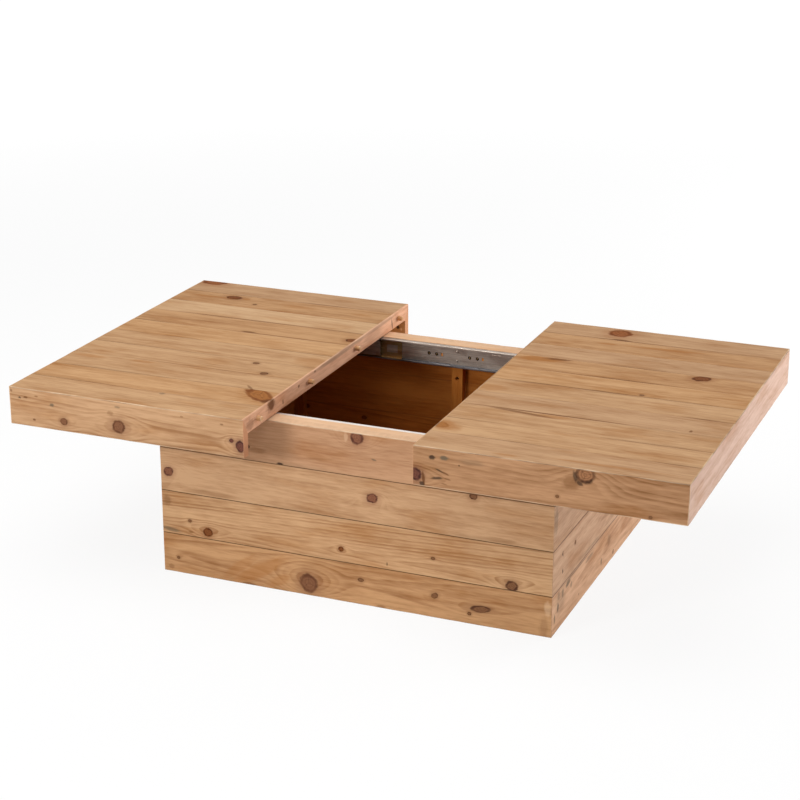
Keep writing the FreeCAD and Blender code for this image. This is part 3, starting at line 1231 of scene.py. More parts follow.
    def dent(self, centre: Vector, outward: Vector, radius: float, depth: float) -> None:
        """Sinks a small hollow in a face.

        Args:
            centre: Middle of the hollow, on the face.
            outward: The way the face looks.
            radius: The hollow's radius.
            depth: The hollow's depth.
        """
        edges = set()
        for face in self.facing(outward, centre):
            points = [face.calc_center_median(), *(vert.co for vert in face.verts)]
            if min((point - centre).length for point in points) < self.DENT_BORDER + radius:
                edges.update(face.edges)
        bmesh.ops.subdivide_edges(self.mesh, edges=list(edges), cuts=self.DENT_CUTS, use_grid_fill=True)
        for vert in self.mesh.verts:
            off = vert.co - centre
            if abs(off.dot(outward)) < SAME_FACE and off.length < radius:
                vert.co -= outward * depth * (1.0 - (off.length / radius) ** 2)


def meshed(name: str, mesh: BMesh, *materials: Material) -> Object:
    """Turns a bmesh into an object with its faces outwards and its sharp edges kept.

    Args:
        name: The object's name.
        mesh: The bmesh, which is used up.
        materials: The object's materials.

    Returns:
        The object.
    """
    data = bpy.data.meshes.new(name)
    bmesh.ops.recalc_face_normals(mesh, faces=mesh.faces)
    mesh.to_mesh(data)
    mesh.free()
    for material in materials:
        data.materials.append(material)
    data.shade_smooth()
    data.set_sharp_from_angle(angle=SHARP_ANGLE)
    return linked(name, data)


def linked(name: str, data: ID) -> Object:
    """A new object in the scene.

    Args:
        name: The object's name.
        data: Its mesh, lamp or camera.

    Returns:
        The object.
    """
    piece = bpy.data.objects.new(name, data)
    bpy.context.scene.collection.objects.link(piece)
    return piece


def hang(piece: Object, body: str, node: str | None) -> None:
    """Hangs a piece on its body in place of a CAD node, if it stands for one, and reports it.

    Args:
        piece: The piece.
        body: The body that it rides on.
        node: The CAD node that it stands for.
    """
    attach(piece, body)
    if node:
        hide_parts(node)
    log.info("%s: %d faces on %s", piece.name, len(piece.data.polygons), body)


def dress_node(node: str, material: Material) -> None:
    """Gives a CAD node that stays in view its material.

    Args:
        node: The node's name.
        material: The material.
    """
    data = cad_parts[node].data
    data.materials.clear()
    data.materials.append(material)
    log.info("%s: dressed in %s", node, material.name)


@dataclass
class Plank:
    """One plank, worn and dressed. It stands for a CAD node, or is trim with a box of its own."""

    name: str
    body: str
    slot: str
    lie: Lie
    timber: Timber
    outside: Block
    mitres: list[Mitre] = field(default_factory=list)
    bores: list[Bore] = field(default_factory=list)
    finish: PineFinish = PineFinish()
    trim: Block | None = None
    arris: float = 2.0 * MM
    arris_faces: int = 3
    joint_easing: float = 0.7 * MM
    joint_faces: int = 2
    shortest_joint: float = 20 * MM
    wear_depth: float = 0.9 * MM
    wear_seeds: float = 50.0
    grain_share: float = 0.5
    cell: float = 16 * MM
    border: float = 5 * MM
    least_borders: int = 4
    broad_cells: int = 5
    narrow_cells: int = 2

    def build(self) -> None:
        """Shapes the plank, dresses it and hangs it on its body."""
        block = self.trim or Block.of(self.name)
        work = Workpiece(block)
        work.round_edges(self.on_outside, self.arris, self.arris_faces)
        work.round_edges(lambda first, last: self.on_joint(block, first, last), self.joint_easing,
                         self.joint_faces)
        for mitre in self.mitres:
            work.cut_off(mitre)
        grain = max(range(3), key=lambda axis: block.size[axis])
        for axis in range(3):
            work.slice(axis, self.cuts(block.low[axis], block.high[axis], axis == grain))
        work.wear(self.outside, self.wear_depth, random.Random(self.name).uniform(0.0, self.wear_seeds))
        for hole in self.bores:
            work.bore(hole)
        for mark in self.timber.marks:
            if mark.depth > 0.0:
                centre, outward = self.on_face(block, mark)
                mean_radius = (mark.length + mark.width) * MM / 4
                work.dent(centre, outward, mean_radius, mark.depth * MM)
        material = self.finish.material(self.name, block, self.outside, self.lie, self.timber)
        piece = meshed("dressed_" + self.name, work.mesh, material)
        hang(piece, self.body, None if self.trim else self.name)

    def on_face(self, block: Block, mark: Mark) -> tuple[Vector, Vector]:
        """Place of a mark on the plank's outer face, and the way that face looks.

        Args:
            block: The plank's box.
            mark: The mark.

        Returns:
            The place and the direction.
        """
        along, across = mark.along * MM, mark.across * MM
        if self.lie is Lie.TOP:
            return Vector((along, across, block.high.z)), AXES[2]
        if self.lie is Lie.FRONT:
            return Vector((along, block.low.y, across)), -AXES[1]
        return Vector((block.high.x, along, across)), AXES[0]

    def cuts(self, low: float, high: float, along_grain: bool) -> list[float]:
        """Where the faces are divided along one axis.

        Cells are about square along the grain and on broad faces. A thin edge isn't divided.

        Args:
            low: Start of the plank on the axis.
            high: End of the plank on the axis.
            along_grain: Whether the axis follows the grain.

        Returns:
            The places of the dividing planes.
        """
        length = high - low
        if length < self.least_borders * self.border:
            return []
        between = length - 2 * self.border
        broad = along_grain or length > self.broad_cells * self.cell
        count = max(1, round(between / self.cell)) if broad else self.narrow_cells
        return [low + self.border + index * (between / count) for index in range(count + 1)]

    def on_outside(self, first: Vector, last: Vector) -> bool:
        """Whether an edge lies on two outside faces of the sub-assembly.

        Args:
            first: One end of the edge.
            last: The other end.

        Returns:
            True if it does.
        """
        planes = 0
        for corner in (self.outside.low, self.outside.high):
            for start, end, limit in zip(first, last, corner):
                planes += max(abs(start - limit), abs(end - limit)) < SAME_PLACE
        return planes >= 2

    def on_joint(self, block: Block, first: Vector, last: Vector) -> bool:
        """Whether an edge runs along the grain beside the plank's outer face.

        Args:
            block: The plank's box.
            first: One end of the edge.
            last: The other end.

        Returns:
            True if it does.
        """
        along = self.lie.local(last - first)
        if abs(along.x) < self.grain_share * along.length or along.length < self.shortest_joint:
            return False
        middle = (first + last) / 2
        local, outside = self.lie.local, self.outside
        beside = abs(local(middle - block.centre).y) - abs(local(block.size).y) / 2
        out = abs(local(middle - outside.centre).z) - abs(local(outside.size).z) / 2
        return abs(beside) < SAME_PLACE and abs(out) < SAME_PLACE


RED, CINNAMON, DARK, SOFT, RINGED, SPIKE, PIN, UMBER, PLUM = KnotKind
AMBER, SMOKE, MOULD, BARK, INK, CHALK = Stain

TOP_TONES: dict[str, tuple[Tone, ...]] = {
    "left": (Tone.SAND, Tone.HONEY, Tone.SAND, Tone.SAND, Tone.SAND,
             Tone.HONEY, Tone.TAN, Tone.PALE, Tone.TAN, Tone.OAT),
    "right": (Tone.OAT, Tone.SAND, Tone.SAND, Tone.OAT, Tone.SAND,
              Tone.HONEY, Tone.TAN, Tone.OAT, Tone.TAN, Tone.OAT),
}

TOP_KNOTS: dict[str, tuple[Knot, ...]] = {
    "left": (
        CINNAMON.at(-636, 394, 58, 42), UMBER.at(-539, 299, 38, 24), PIN.at(-474, 269, 9, 8),
        UMBER.at(-176, 112, 26, 20), PIN.at(-291, -95, 14, 11), PIN.at(-248, -147, 17, 15),
        SPIKE.at(-201, -264, 92, 42, -44),
    ),
    "right": (
        CINNAMON.at(321, 367, 48, 46), UMBER.at(549, 145, 38, 29, 20), PIN.at(468, 9, 10, 7),
        SPIKE.at(174, -284, 36, 26, -30),
    ),
}

TOP_MARKS: dict[str, tuple[Mark, ...]] = {
    "left": (
        AMBER.at(-594, 290, 110, 12, 0.65), AMBER.at(-508, 298, 24, 18, 0.6),
        AMBER.at(-374, 286, 90, 26, 0.4), AMBER.at(-227, 284, 64, 18, 0.45), BARK.at(-330, 322, 180, 5, 0.6),
        SMOKE.at(-400, 162, 520, 5, 0.6), BARK.at(-397, 84, 44, 14, 0.7), BARK.at(-320, 82, 330, 5, 0.6),
        AMBER.at(-190, -45, 84, 64, 0.4), SMOKE.at(-370, -158, 420, 5, 0.6),
        AMBER.at(-620, -178, 84, 20, 0.55), AMBER.at(-505, -170, 60, 18, 0.5),
        BARK.at(-172, -292, 20, 28, 0.8, -40), BARK.at(-236, -232, 34, 7, 0.6, -44),
        MOULD.at(-374, -327, 14, 12, 0.5),
    ),
    "right": (
        SMOKE.at(417, 322, 520, 5, 0.6), BARK.at(336, 323, 50, 12, 0.75),
        AMBER.at(440, 296, 190, 16, 0.65, 3), AMBER.at(318, 290, 52, 13, 0.6),
        AMBER.at(226, 148, 130, 44, 0.9, 12), BARK.at(258, 156, 70, 18, 0.7, 10),
        SMOKE.at(390, 82, 400, 5, 0.6), BARK.at(340, 2, 290, 5, 0.5), AMBER.at(186, -54, 80, 46, 0.45),
        SMOKE.at(600, -78, 90, 5, 0.6), BARK.at(345, -158, 380, 5, 0.8),
        BARK.at(285, -168, 170, 12, 0.6, -8), AMBER.at(350, -170, 90, 20, 0.5),
        BARK.at(603, -149, 7, 14, 0.7), AMBER.at(184, -284, 80, 50, 0.6, -30),
        AMBER.at(520, -370, 240, 12, 0.5), AMBER.at(335, -386, 60, 12, 0.5),
    ),
}

FRONT_TIMBER: dict[str, Timber] = {
    "left": Timber(Tone.OAT, Cut.FLAT, (
        SOFT.at(-429, 330, 28, 26), SOFT.at(-548, 324, 16, 14), PLUM.at(-174, 327, 18, 22),
        PLUM.at(-192, 336, 9, 8),
    ), (
        BARK.at(-631, 362, 12, 5, 0.75, 0, 0.8), INK.at(-644, 360, 7, 5, 0.75, 0, 0.8),
        BARK.at(-662, 372, 6, 6, 0.6), SMOKE.at(-607, 367, 10, 4, 0.7),
        MOULD.at(-573, 354, 12, 8, 0.75, 0, 0.6), BARK.at(-614, 319, 9, 5, 0.75, 0, 0.6),
        SMOKE.at(-446, 355, 16, 10, 0.5), MOULD.at(-430, 369, 14, 5, 0.5), SMOKE.at(-294, 369, 9, 4, 0.6),
        BARK.at(-211, 365, 9, 4, 0.6),
    ), (Sawn.FINISH,), Arches(-300, 330, -1.0, 14.0, 0.030, 7.5, 0.62)),
    "right": Timber(Tone.RUSSET, Cut.FLAT, (
        RINGED.at(484, 370, 36, 32), PLUM.at(170, 325, 26, 24), PIN.at(601, 310, 7, 6),
        PIN.at(435, 323, 7, 6),
    ), (
        INK.at(203, 361, 15, 10, 0.85, 0, 1.2), MOULD.at(226, 363, 20, 10, 0.85, 0, 1.2),
        BARK.at(187, 319, 7, 32, 0.85, 6), INK.at(184, 309, 12, 10, 0.8),
        INK.at(212, 323, 26, 6, 0.75, 8, 0.8), INK.at(217, 338, 20, 4, 0.7, -24),
        BARK.at(229, 334, 18, 4, 0.7, -20), BARK.at(232, 324, 16, 4, 0.6, -10),
        BARK.at(226, 314, 14, 3, 0.5, -10), INK.at(466, 364, 9, 26, 0.7, 14),
        INK.at(474, 353, 16, 8, 0.7, -30), SMOKE.at(460, 352, 40, 30, 0.65), INK.at(254, 353, 4, 4, 0.7),
        MOULD.at(278, 362, 60, 12, 0.25),
    ), (Sawn.START,), Arches(425, 322, -1.0, 9.0, 0.05, 9.0, 0.45)),
}

BACK_TIMBER: dict[str, Timber] = {
    "left": Timber(Tone.HONEY, Cut.FLAT, (), (
        INK.at(-184, 330, 10, 9, 0.9), CHALK.at(-176, 326, 5, 8, 0.8),
    ), (Sawn.FINISH,)),
    "right": Timber(Tone.HONEY, Cut.FLAT, (), (), (Sawn.START,)),
}

STRIP_MARKS: tuple[Mark, ...] = (
    BARK.at(-161, 369, 9, 7, 0.8), BARK.at(-232, 360, 6, 12, 0.8), BARK.at(-86, 376, 8, 6, 0.7),
    INK.at(308, 360, 6, 30, 0.8, 12), MOULD.at(40, 376, 330, 12, 0.38), MOULD.at(250, 376, 180, 10, 0.32),
    BARK.at(-280, 366, 60, 26, 0.3), BARK.at(-283, 371, 38, 30, 0.9), SMOKE.at(205, 366, 120, 26, 0.22),
    BARK.at(-372, 362, 36, 26, 0.35),
)


@dataclass
class TopHalf:
    """One half of the divided top on its own body: ten boards, three mitred aprons and a thin lipping."""

    side: str
    boards: int = 10
    quarter_sawn: tuple[int, ...] = (2, 7, 9)
    dowel_height: float = 364 * MM
    dowel_rows: tuple[float, ...] = (-342 * MM, -114 * MM, 114 * MM, 342 * MM)
    dowel_radius: float = 5.0 * MM
    socket_radius: float = 5.4 * MM
    socket_depth: float = 11.5 * MM
    strip_thickness: float = 3.0 * MM
    strip_arris: float = 0.8 * MM
    board_finish: PineFinish = PineFinish(patchy=0.95, grime=0.7)
    strip_finish: PineFinish = PineFinish(grime=0.0, worn=0.2)

    def __post_init__(self) -> None:
        """Reads the half's sizes from the frame."""
        self.sign = 1.0 if self.side == "right" else -1.0
        self.body = f"{self.side}_half"
        aprons = [f"{self.side}_{name}_apron" for name in ("front", "back", "end")]
        self.whole = Block.of(f"{self.side}_board_1", f"{self.side}_board_{self.boards}", *aprons)
        self.thickness = Block.of(aprons[0]).size.y
        low, high = self.whole.low, self.whole.high
        self.top = high
        self.drop = high.z - Block.of(f"{self.side}_board_5").low.z
        beyond = self.sign * self.whole.size.x * AXES[0]
        if self.sign > 0:
            self.inner, self.outer, self.outside = low.x, high.x, Block(low - beyond, high)
        else:
            self.inner, self.outer, self.outside = high.x, low.x, Block(low, high - beyond)

    def end_mitre(self, keep_board: bool) -> Mitre:
        """Sloping cut between the boards' outer ends and the end apron."""
        slope = Vector((self.sign * self.drop, 0.0, -self.thickness))
        return Mitre(Vector((self.outer, 0.0, self.top.z)), slope if keep_board else -slope)

    def side_mitre(self, way: float, keep_board: bool) -> Mitre:
        """Sloping cut between an outer board and the front or back apron."""
        slope = Vector((0.0, way * self.drop, -self.thickness))
        return Mitre(Vector((0.0, way * self.top.y, self.top.z)), slope if keep_board else -slope)

    def corner_mitre(self, way: float, keep_side: bool) -> Mitre:
        """Upright cut between a side apron and the end apron."""
        slope = Vector((self.sign, -way, 0.0))
        return Mitre(Vector((self.outer, way * self.top.y, 0.0)), slope if keep_side else -slope)

    def build(self) -> None:
        """Builds the boards, the aprons and the lipping."""
        planks = [self.board(index) for index in range(self.boards)]
        planks += [self.side_apron("front", -1.0), self.side_apron("back", 1.0)]
        planks += [self.end_apron(), self.edge_strip()]
        for plank in planks:
            plank.build()

    def plank(self, name: str, lie: Lie, timber: Timber, mitres: list[Mitre], **options: Any) -> Plank:
        """One plank of the half. Options are further fields of Plank."""
        options.setdefault("outside", self.outside)
        return Plank(f"{self.side}_{name}", self.body, "pine", lie, timber, mitres=mitres, **options)

    def board(self, index: int) -> Plank:
        """One board of the half, counted from the front.

        Args:
            index: The board's place, from 0.

        Returns:
            The plank.
        """
        name = f"board_{index + 1}"
        block = Block.of(f"{self.side}_{name}")
        cut_face = self.inner + self.sign * self.strip_thickness
        mitres = [self.end_mitre(True), Mitre(cut_face * AXES[0], -self.sign * AXES[0])]
        if index == 0:
            mitres.append(self.side_mitre(-1.0, True))
        if index == self.boards - 1:
            mitres.append(self.side_mitre(1.0, True))
        low, high = block.low.y, block.high.y
        knots, marks = (tuple(spot for spot in spots[self.side] if low <= spot.across * MM < high)
                        for spots in (TOP_KNOTS, TOP_MARKS))
        cut = Cut.QUARTER if index in self.quarter_sawn else Cut.RIFT
        timber = Timber(TOP_TONES[self.side][index], cut, knots, marks)
        rows = [row for row in self.dowel_rows if low < row < high and self.sign > 0]
        bores = self.bores(rows, cut_face, self.socket_radius, self.socket_depth - self.strip_thickness)
        return self.plank(name, Lie.TOP, timber, mitres, bores=bores, finish=self.board_finish)

    def bores(self, rows: Iterable[float], face: float, radius: float, depth: float,
              through: bool = False) -> list[Bore]:
        """Dowel holes in a face that looks to the other half.

        Args:
            rows: Places of the holes along Y.
            face: Place of the face along X.
            radius: Radius of the holes.
            depth: Depth of the holes.
            through: Whether they go right through.

        Returns:
            The holes.
        """
        outward = -self.sign * AXES[0]
        mouths = [Vector((face, row, self.dowel_height)) for row in rows]
        return [Bore(mouth, outward, radius, depth, through) for mouth in mouths]

    def edge_strip(self) -> Plank:
        """Thin lipping over the boards' cut ends, with its grain across them.

        Returns:
            The plank.
        """
        low, high = self.whole.low.copy(), self.whole.high.copy()
        low.y = -high.y
        low.z = high.z - self.drop
        low.x, high.x = sorted((self.inner, self.inner + self.sign * self.strip_thickness))
        radius = self.socket_radius if self.sign > 0 else self.dowel_radius
        bores = self.bores(self.dowel_rows, self.inner, radius, self.strip_thickness, True)
        timber = Timber(Tone.SAND if self.sign > 0 else Tone.STRIP, Cut.RIFT, (), STRIP_MARKS)
        mitres = [self.side_mitre(-1.0, True), self.side_mitre(1.0, True)]
        return self.plank("edge_strip", Lie.END, timber, mitres, outside=self.whole, bores=bores,
                          finish=self.strip_finish, trim=Block(low, high), arris=self.strip_arris)

    def side_apron(self, name: str, way: float) -> Plank:
        """Apron along the front or the back.

        Args:
            name: "front" or "back".
            way: -1 for the front, 1 for the back.

        Returns:
            The plank.
        """
        timber = FRONT_TIMBER[self.side] if way < 0 else BACK_TIMBER[self.side]
        mitres = [self.side_mitre(way, False), self.corner_mitre(way, True)]
        return self.plank(f"{name}_apron", Lie.FRONT, timber, mitres)

    def end_apron(self) -> Plank:
        """Apron across the outer end."""
        mitres = [self.end_mitre(False), self.corner_mitre(-1.0, False), self.corner_mitre(1.0, False)]
        # The end apron's tone carries a painted sheen.
        return self.plank("end_apron", Lie.END, Timber(Tone.PALE_SHEEN, Cut.RIFT), mitres)


WALL_TIMBER: dict[str, tuple[Timber, ...]] = {
    "front": (
        Timber(Tone.TAN, Cut.FLAT, (
            SOFT.at(-87, 26, 36, 38), PIN.at(21, 51, 13, 8), PIN.at(171, 45, 14, 11, 30),
            DARK.at(262, 34, 40, 14, 6), PIN.at(240, 21, 8, 7), PIN.at(-368, 32, 7, 6),
        ), (
            AMBER.at(-190, 36, 150, 34, 0.55, 32), AMBER.at(-232, 36, 100, 26, 0.40, 38),
            AMBER.at(-150, 20, 70, 24, 0.45, 30), BARK.at(-214, 2, 34, 8, 0.6),
            SMOKE.at(-384, 11, 14, 12, 0.5), SMOKE.at(63, 3, 24, 8, 0.6), CHALK.at(392, 58, 16, 34, 0.3),
            SMOKE.at(385, 20, 20, 50, 0.35),
        )),
        Timber(Tone.SAND, Cut.FLAT, (
            UMBER.at(-301, 96, 21, 18), PIN.at(-340, 114, 8, 7), UMBER.at(-19, 108, 11, 10),
            DARK.at(322, 91, 24, 20), PIN.at(167, 120, 9, 6),
        ), (
            MOULD.at(-382, 90, 50, 10, 0.6, -6), INK.at(75, 93, 3, 9, 0.7), SMOKE.at(-338, 91, 12, 7, 0.7),
            BARK.at(-388, 150, 20, 26, 0.35),
        ), (), Arches(30, 103, contrast=0.75)),
        Timber(Tone.OAT, Cut.RIFT, (
            RED.at(-383, 211, 21, 19, 25), RED.at(45, 221, 23, 19, 15), DARK.at(245, 256, 16, 13),
        ), (
            SMOKE.at(-290, 178, 120, 12, 0.40), SMOKE.at(300, 178, 90, 10, 0.35),
        )),
    ),
    "right": (
        # The right wall's tones carry a painted sheen, and the lowest plank also painted bounce light from
        # the floor.
        Timber(Tone.BOUNCE_SHEEN, Cut.FLAT, (), (
            MOULD.at(-206, 71, 34, 13, 0.75, 8), MOULD.at(-186, 60, 14, 14, 0.45),
            MOULD.at(-238, 64, 16, 24, 0.65, 10), MOULD.at(-262, 68, 18, 26, 0.5, 5),
            MOULD.at(-265, 47, 11, 24, 0.9), MOULD.at(-284, 32, 10, 20, 0.65),
            MOULD.at(-252, 54, 76, 62, 0.22), INK.at(-150, 78, 210, 6, 0.5), MOULD.at(-70, 68, 60, 12, 0.45),
            MOULD.at(11, 25, 12, 16, 0.6), BARK.at(-136, 18, 6, 6, 0.5), BARK.at(93, 13, 12, 12, 0.7),
            MOULD.at(60, 52, 26, 30, 0.3),
        )),
        Timber(Tone.ROSE_SHEEN, Cut.FLAT, (PIN.at(-168, 138, 9, 8),), (
            INK.at(-242, 145, 6, 12, 0.9, 0, 1.5), INK.at(-242, 110, 6, 12, 0.9, 0, 1.5),
            MOULD.at(-60, 88, 150, 8, 0.3), SMOKE.at(90, 100, 80, 16, 0.4),
        )),
        Timber(Tone.ROSE_SHEEN, Cut.RIFT, (), (MOULD.at(-288, 228, 22, 60, 0.35),)),
    ),
    "back": (
        Timber(Tone.TAN, Cut.FLAT, (SOFT.at(148, 36, 30, 26), PIN.at(331, 54, 11, 8))),
        Timber(Tone.TAN, Cut.FLAT, (
            PIN.at(-357, 159, 12, 9), PIN.at(-221, 150, 12, 8), DARK.at(262, 118, 24, 19, 12),
        )),
        Timber(Tone.SAND, Cut.RIFT, (RED.at(96, 221, 21, 18, 20), PIN.at(344, 198, 12, 9))),
    ),
    "left": (
        # The left wall reuses the right wall's tone, painted sheen included.
        Timber(Tone.ROSE_SHEEN, Cut.FLAT, (DARK.at(64, 33, 26, 22),)),
        Timber(Tone.ROSE_SHEEN, Cut.FLAT, (PIN.at(-148, 124, 12, 9), PIN.at(32, 140, 9, 8))),
        Timber(Tone.ROSE_SHEEN, Cut.RIFT, (RED.at(-62, 226, 20, 17, 15),)),
    ),
}

RAIL_TIMBER: dict[str, Timber] = {
    "front": Timber(Tone.BLUSH, Cut.RIFT, (RED.at(15, 336, 26, 25),), (
        INK.at(-209, 287, 8, 9, 0.8), INK.at(-143, 262, 16, 6, 0.9), MOULD.at(49, 298, 12, 4, 0.7, -10),
        CHALK.at(-7, 335, 9, 20, 0.24), SMOKE.at(-60, 284, 70, 6, 0.35, 6), SMOKE.at(-190, 282, 40, 14, 0.4),
    ), (Sawn.UPPER,)),
    "back": Timber(Tone.SAND, Cut.RIFT, (), (), (Sawn.UPPER,)),
}


@dataclass
class BaseBox:
    """The storage box: four walls of three courses, a top course of rails, and the rails of the slides."""

    courses: int = 3
    raw_edge: float = 2 * MM
    wall_wear_and_highlight: float = 0.15
    walls: tuple[tuple[str, Lie, float], ...] = (("front", Lie.FRONT, -1.0), ("back", Lie.FRONT, 1.0),
                                                 ("left", Lie.END, -1.0), ("right", Lie.END, 1.0))

    def __post_init__(self) -> None:
        """Reads the box's sizes from the frame."""
        names = [f"{side}_plank_{course + 1}" for side, _, _ in self.walls for course in range(self.courses)]
        self.outside = Block.of(*names, "front_rail", "back_rail")
        panel = Block.of("bottom_panel")
        self.well = Block(panel.low, Vector((panel.high.x, panel.high.y, Block.of("left_end_rail").high.z)))
        rail = Block.of("back_slide_rail")
        self.shaft = Block(Vector((rail.low.x, -rail.low.y, rail.low.z)),
                           Vector((rail.high.x, rail.low.y, rail.high.z - self.raw_edge)))

    def corner_mitres(self, lie: Lie, way: float) -> list[Mitre]:
        """Upright cuts at both ends of a wall's plank.

        Args:
            lie: Lie.FRONT for the front and back walls, Lie.END for the end walls.
            way: -1 for the front or left wall, 1 for the back or right wall.

        Returns:
            The two cuts.
        """
        mitres = []
        for end in (-1.0, 1.0):
            x, y = (end, way) if lie is Lie.FRONT else (way, end)
            outward = Vector((x, -y, 0.0)) if lie is Lie.FRONT else Vector((-x, y, 0.0))
            mitres.append(Mitre(Vector((x * self.outside.high.x, y * self.outside.high.y, 0.0)), outward))
        return mitres

    def plank(self, name: str, lie: Lie, timber: Timber, finish: PineFinish, slot: str = "pine",
              mitres: Iterable[Mitre] = ()) -> Plank:
        """One plank of the box. See Plank for the terms."""
        return Plank(name, "base", slot, lie, timber, self.outside, list(mitres), finish=finish)

    def build(self) -> None:
        """Builds the walls, rails and slide rails."""
        wall = PineFinish(well=self.well, worn=self.wall_wear_and_highlight)
        inner = PineFinish(well=self.well)
        raw = PineFinish(grime=0.0, well=self.shaft)
        planks = [self.plank(f"{side}_plank_{course + 1}", lie, WALL_TIMBER[side][course], wall,
                             mitres=self.corner_mitres(lie, way))
                  for course in range(self.courses) for side, lie, way in self.walls]
        for side, timber in RAIL_TIMBER.items():
            planks.append(self.plank(f"{side}_rail", Lie.FRONT, timber, inner))
            bare = Timber(Tone.RAW, Cut.RIFT)
            planks.append(self.plank(f"{side}_slide_rail", Lie.FRONT, bare, raw, "raw_pine"))
        for side in ("left", "right"):
            planks.append(self.plank(f"{side}_end_rail", Lie.END, Timber(Tone.SAND, Cut.RIFT), inner))
        for plank in planks:
            plank.build()

    def dress(self) -> None:
        """Dresses the posts, battens and panel, which keep their CAD form."""
        for node, lie, timber in (("corner_posts", Lie.UPRIGHT, Timber(Tone.TAN, Cut.QUARTER)),
                                  ("centre_battens", Lie.UPRIGHT, Timber(Tone.PALE, Cut.QUARTER)),
                                  ("bottom_panel", Lie.TOP, Timber(Tone.TAN, Cut.FLAT))):
            block = Block.of(node)
            dress_node(node, PineFinish(grime=0.0, well=self.well).material(node, block, block, lie, timber))


@dataclass(frozen=True)
class DomedScrew:
    """Wood screw with a domed head and a crossed recess, in metres."""

    head_radius: float = 3.5 * MM
    rise: float = 0.6 * MM
    sink: float = 1.6 * MM
    shank_radius: float = 2.0 * MM
    tip_radius: float = 0.1 * MM
    length: float = 16.0 * MM
    point: float = 3.0 * MM
    recess_width: float = 1.0 * MM
    recess_length: float = 4.0 * MM
    recess_depth: float = 0.9 * MM
    # Share of the head's radius that carries the painted highlight.
    highlight_share: float = 0.36
    cells: int = 20

    def drive(self, mesh: BMesh, place: Vector, outward: Vector) -> None:
        """Adds the screw to a mesh, its middle painted bright as a highlight and its border painted dark as
        shade, in the second material.

        Args:
            mesh: The mesh.
            place: Middle of the head's border.
            outward: The way the head looks.
        """
        verts = bmesh.ops.create_grid(mesh, x_segments=self.cells, y_segments=self.cells,
                                      size=self.head_radius)["verts"]
        for vert in verts:
            vert.co = self.domed(vert.co)
        for face in {face for vert in verts for face in vert.link_faces}:
            reach = face.calc_center_median().to_2d().length
            # Painted highlight in the middle, painted shade on the border.
            face.material_index = int(reach > self.highlight_share * self.head_radius)
        rim = [edge for edge in {edge for vert in verts for edge in vert.link_edges} if edge.is_boundary]
        for depth, radius in ((self.sink, self.shank_radius), (self.length - self.point, self.shank_radius),
                              (self.length, self.tip_radius)):
            drawn = bmesh.ops.extrude_edge_only(mesh, edges=rim)["geom"]
            rim = [part for part in drawn if isinstance(part, BMEdge) and part.is_boundary]
            ring = [part for part in drawn if isinstance(part, BMVert)]
            for vert in ring:
                flat = vert.co.to_2d().normalized() * radius
                vert.co = Vector((flat.x, flat.y, -depth))
            verts += ring
        bmesh.ops.edgeloop_fill(mesh, edges=rim)
        turn = AXES[2].rotation_difference(outward).to_matrix().to_4x4()
        bmesh.ops.transform(mesh, matrix=Matrix.Translation(place) @ turn, verts=verts)

    def domed(self, point: Vector) -> Vector:
        """Takes a point of the square grid to the head's round dome, sunk in the recess.

        Args:
            point: The point on the grid.

        Returns:
            The point on the head.
        """
        if point.length == 0.0:
            return (self.rise - self.recess_depth) * AXES[2]
        flat = point * (max(abs(point.x), abs(point.y)) / point.length)
        height = self.rise * (1.0 - (flat.length / self.head_radius) ** 2)
        narrow, wide = sorted((abs(flat.x), abs(flat.y)))
        if narrow < self.recess_width / 2 and wide < self.recess_length / 2:
            height -= self.recess_depth
        return Vector((flat.x, flat.y, height))


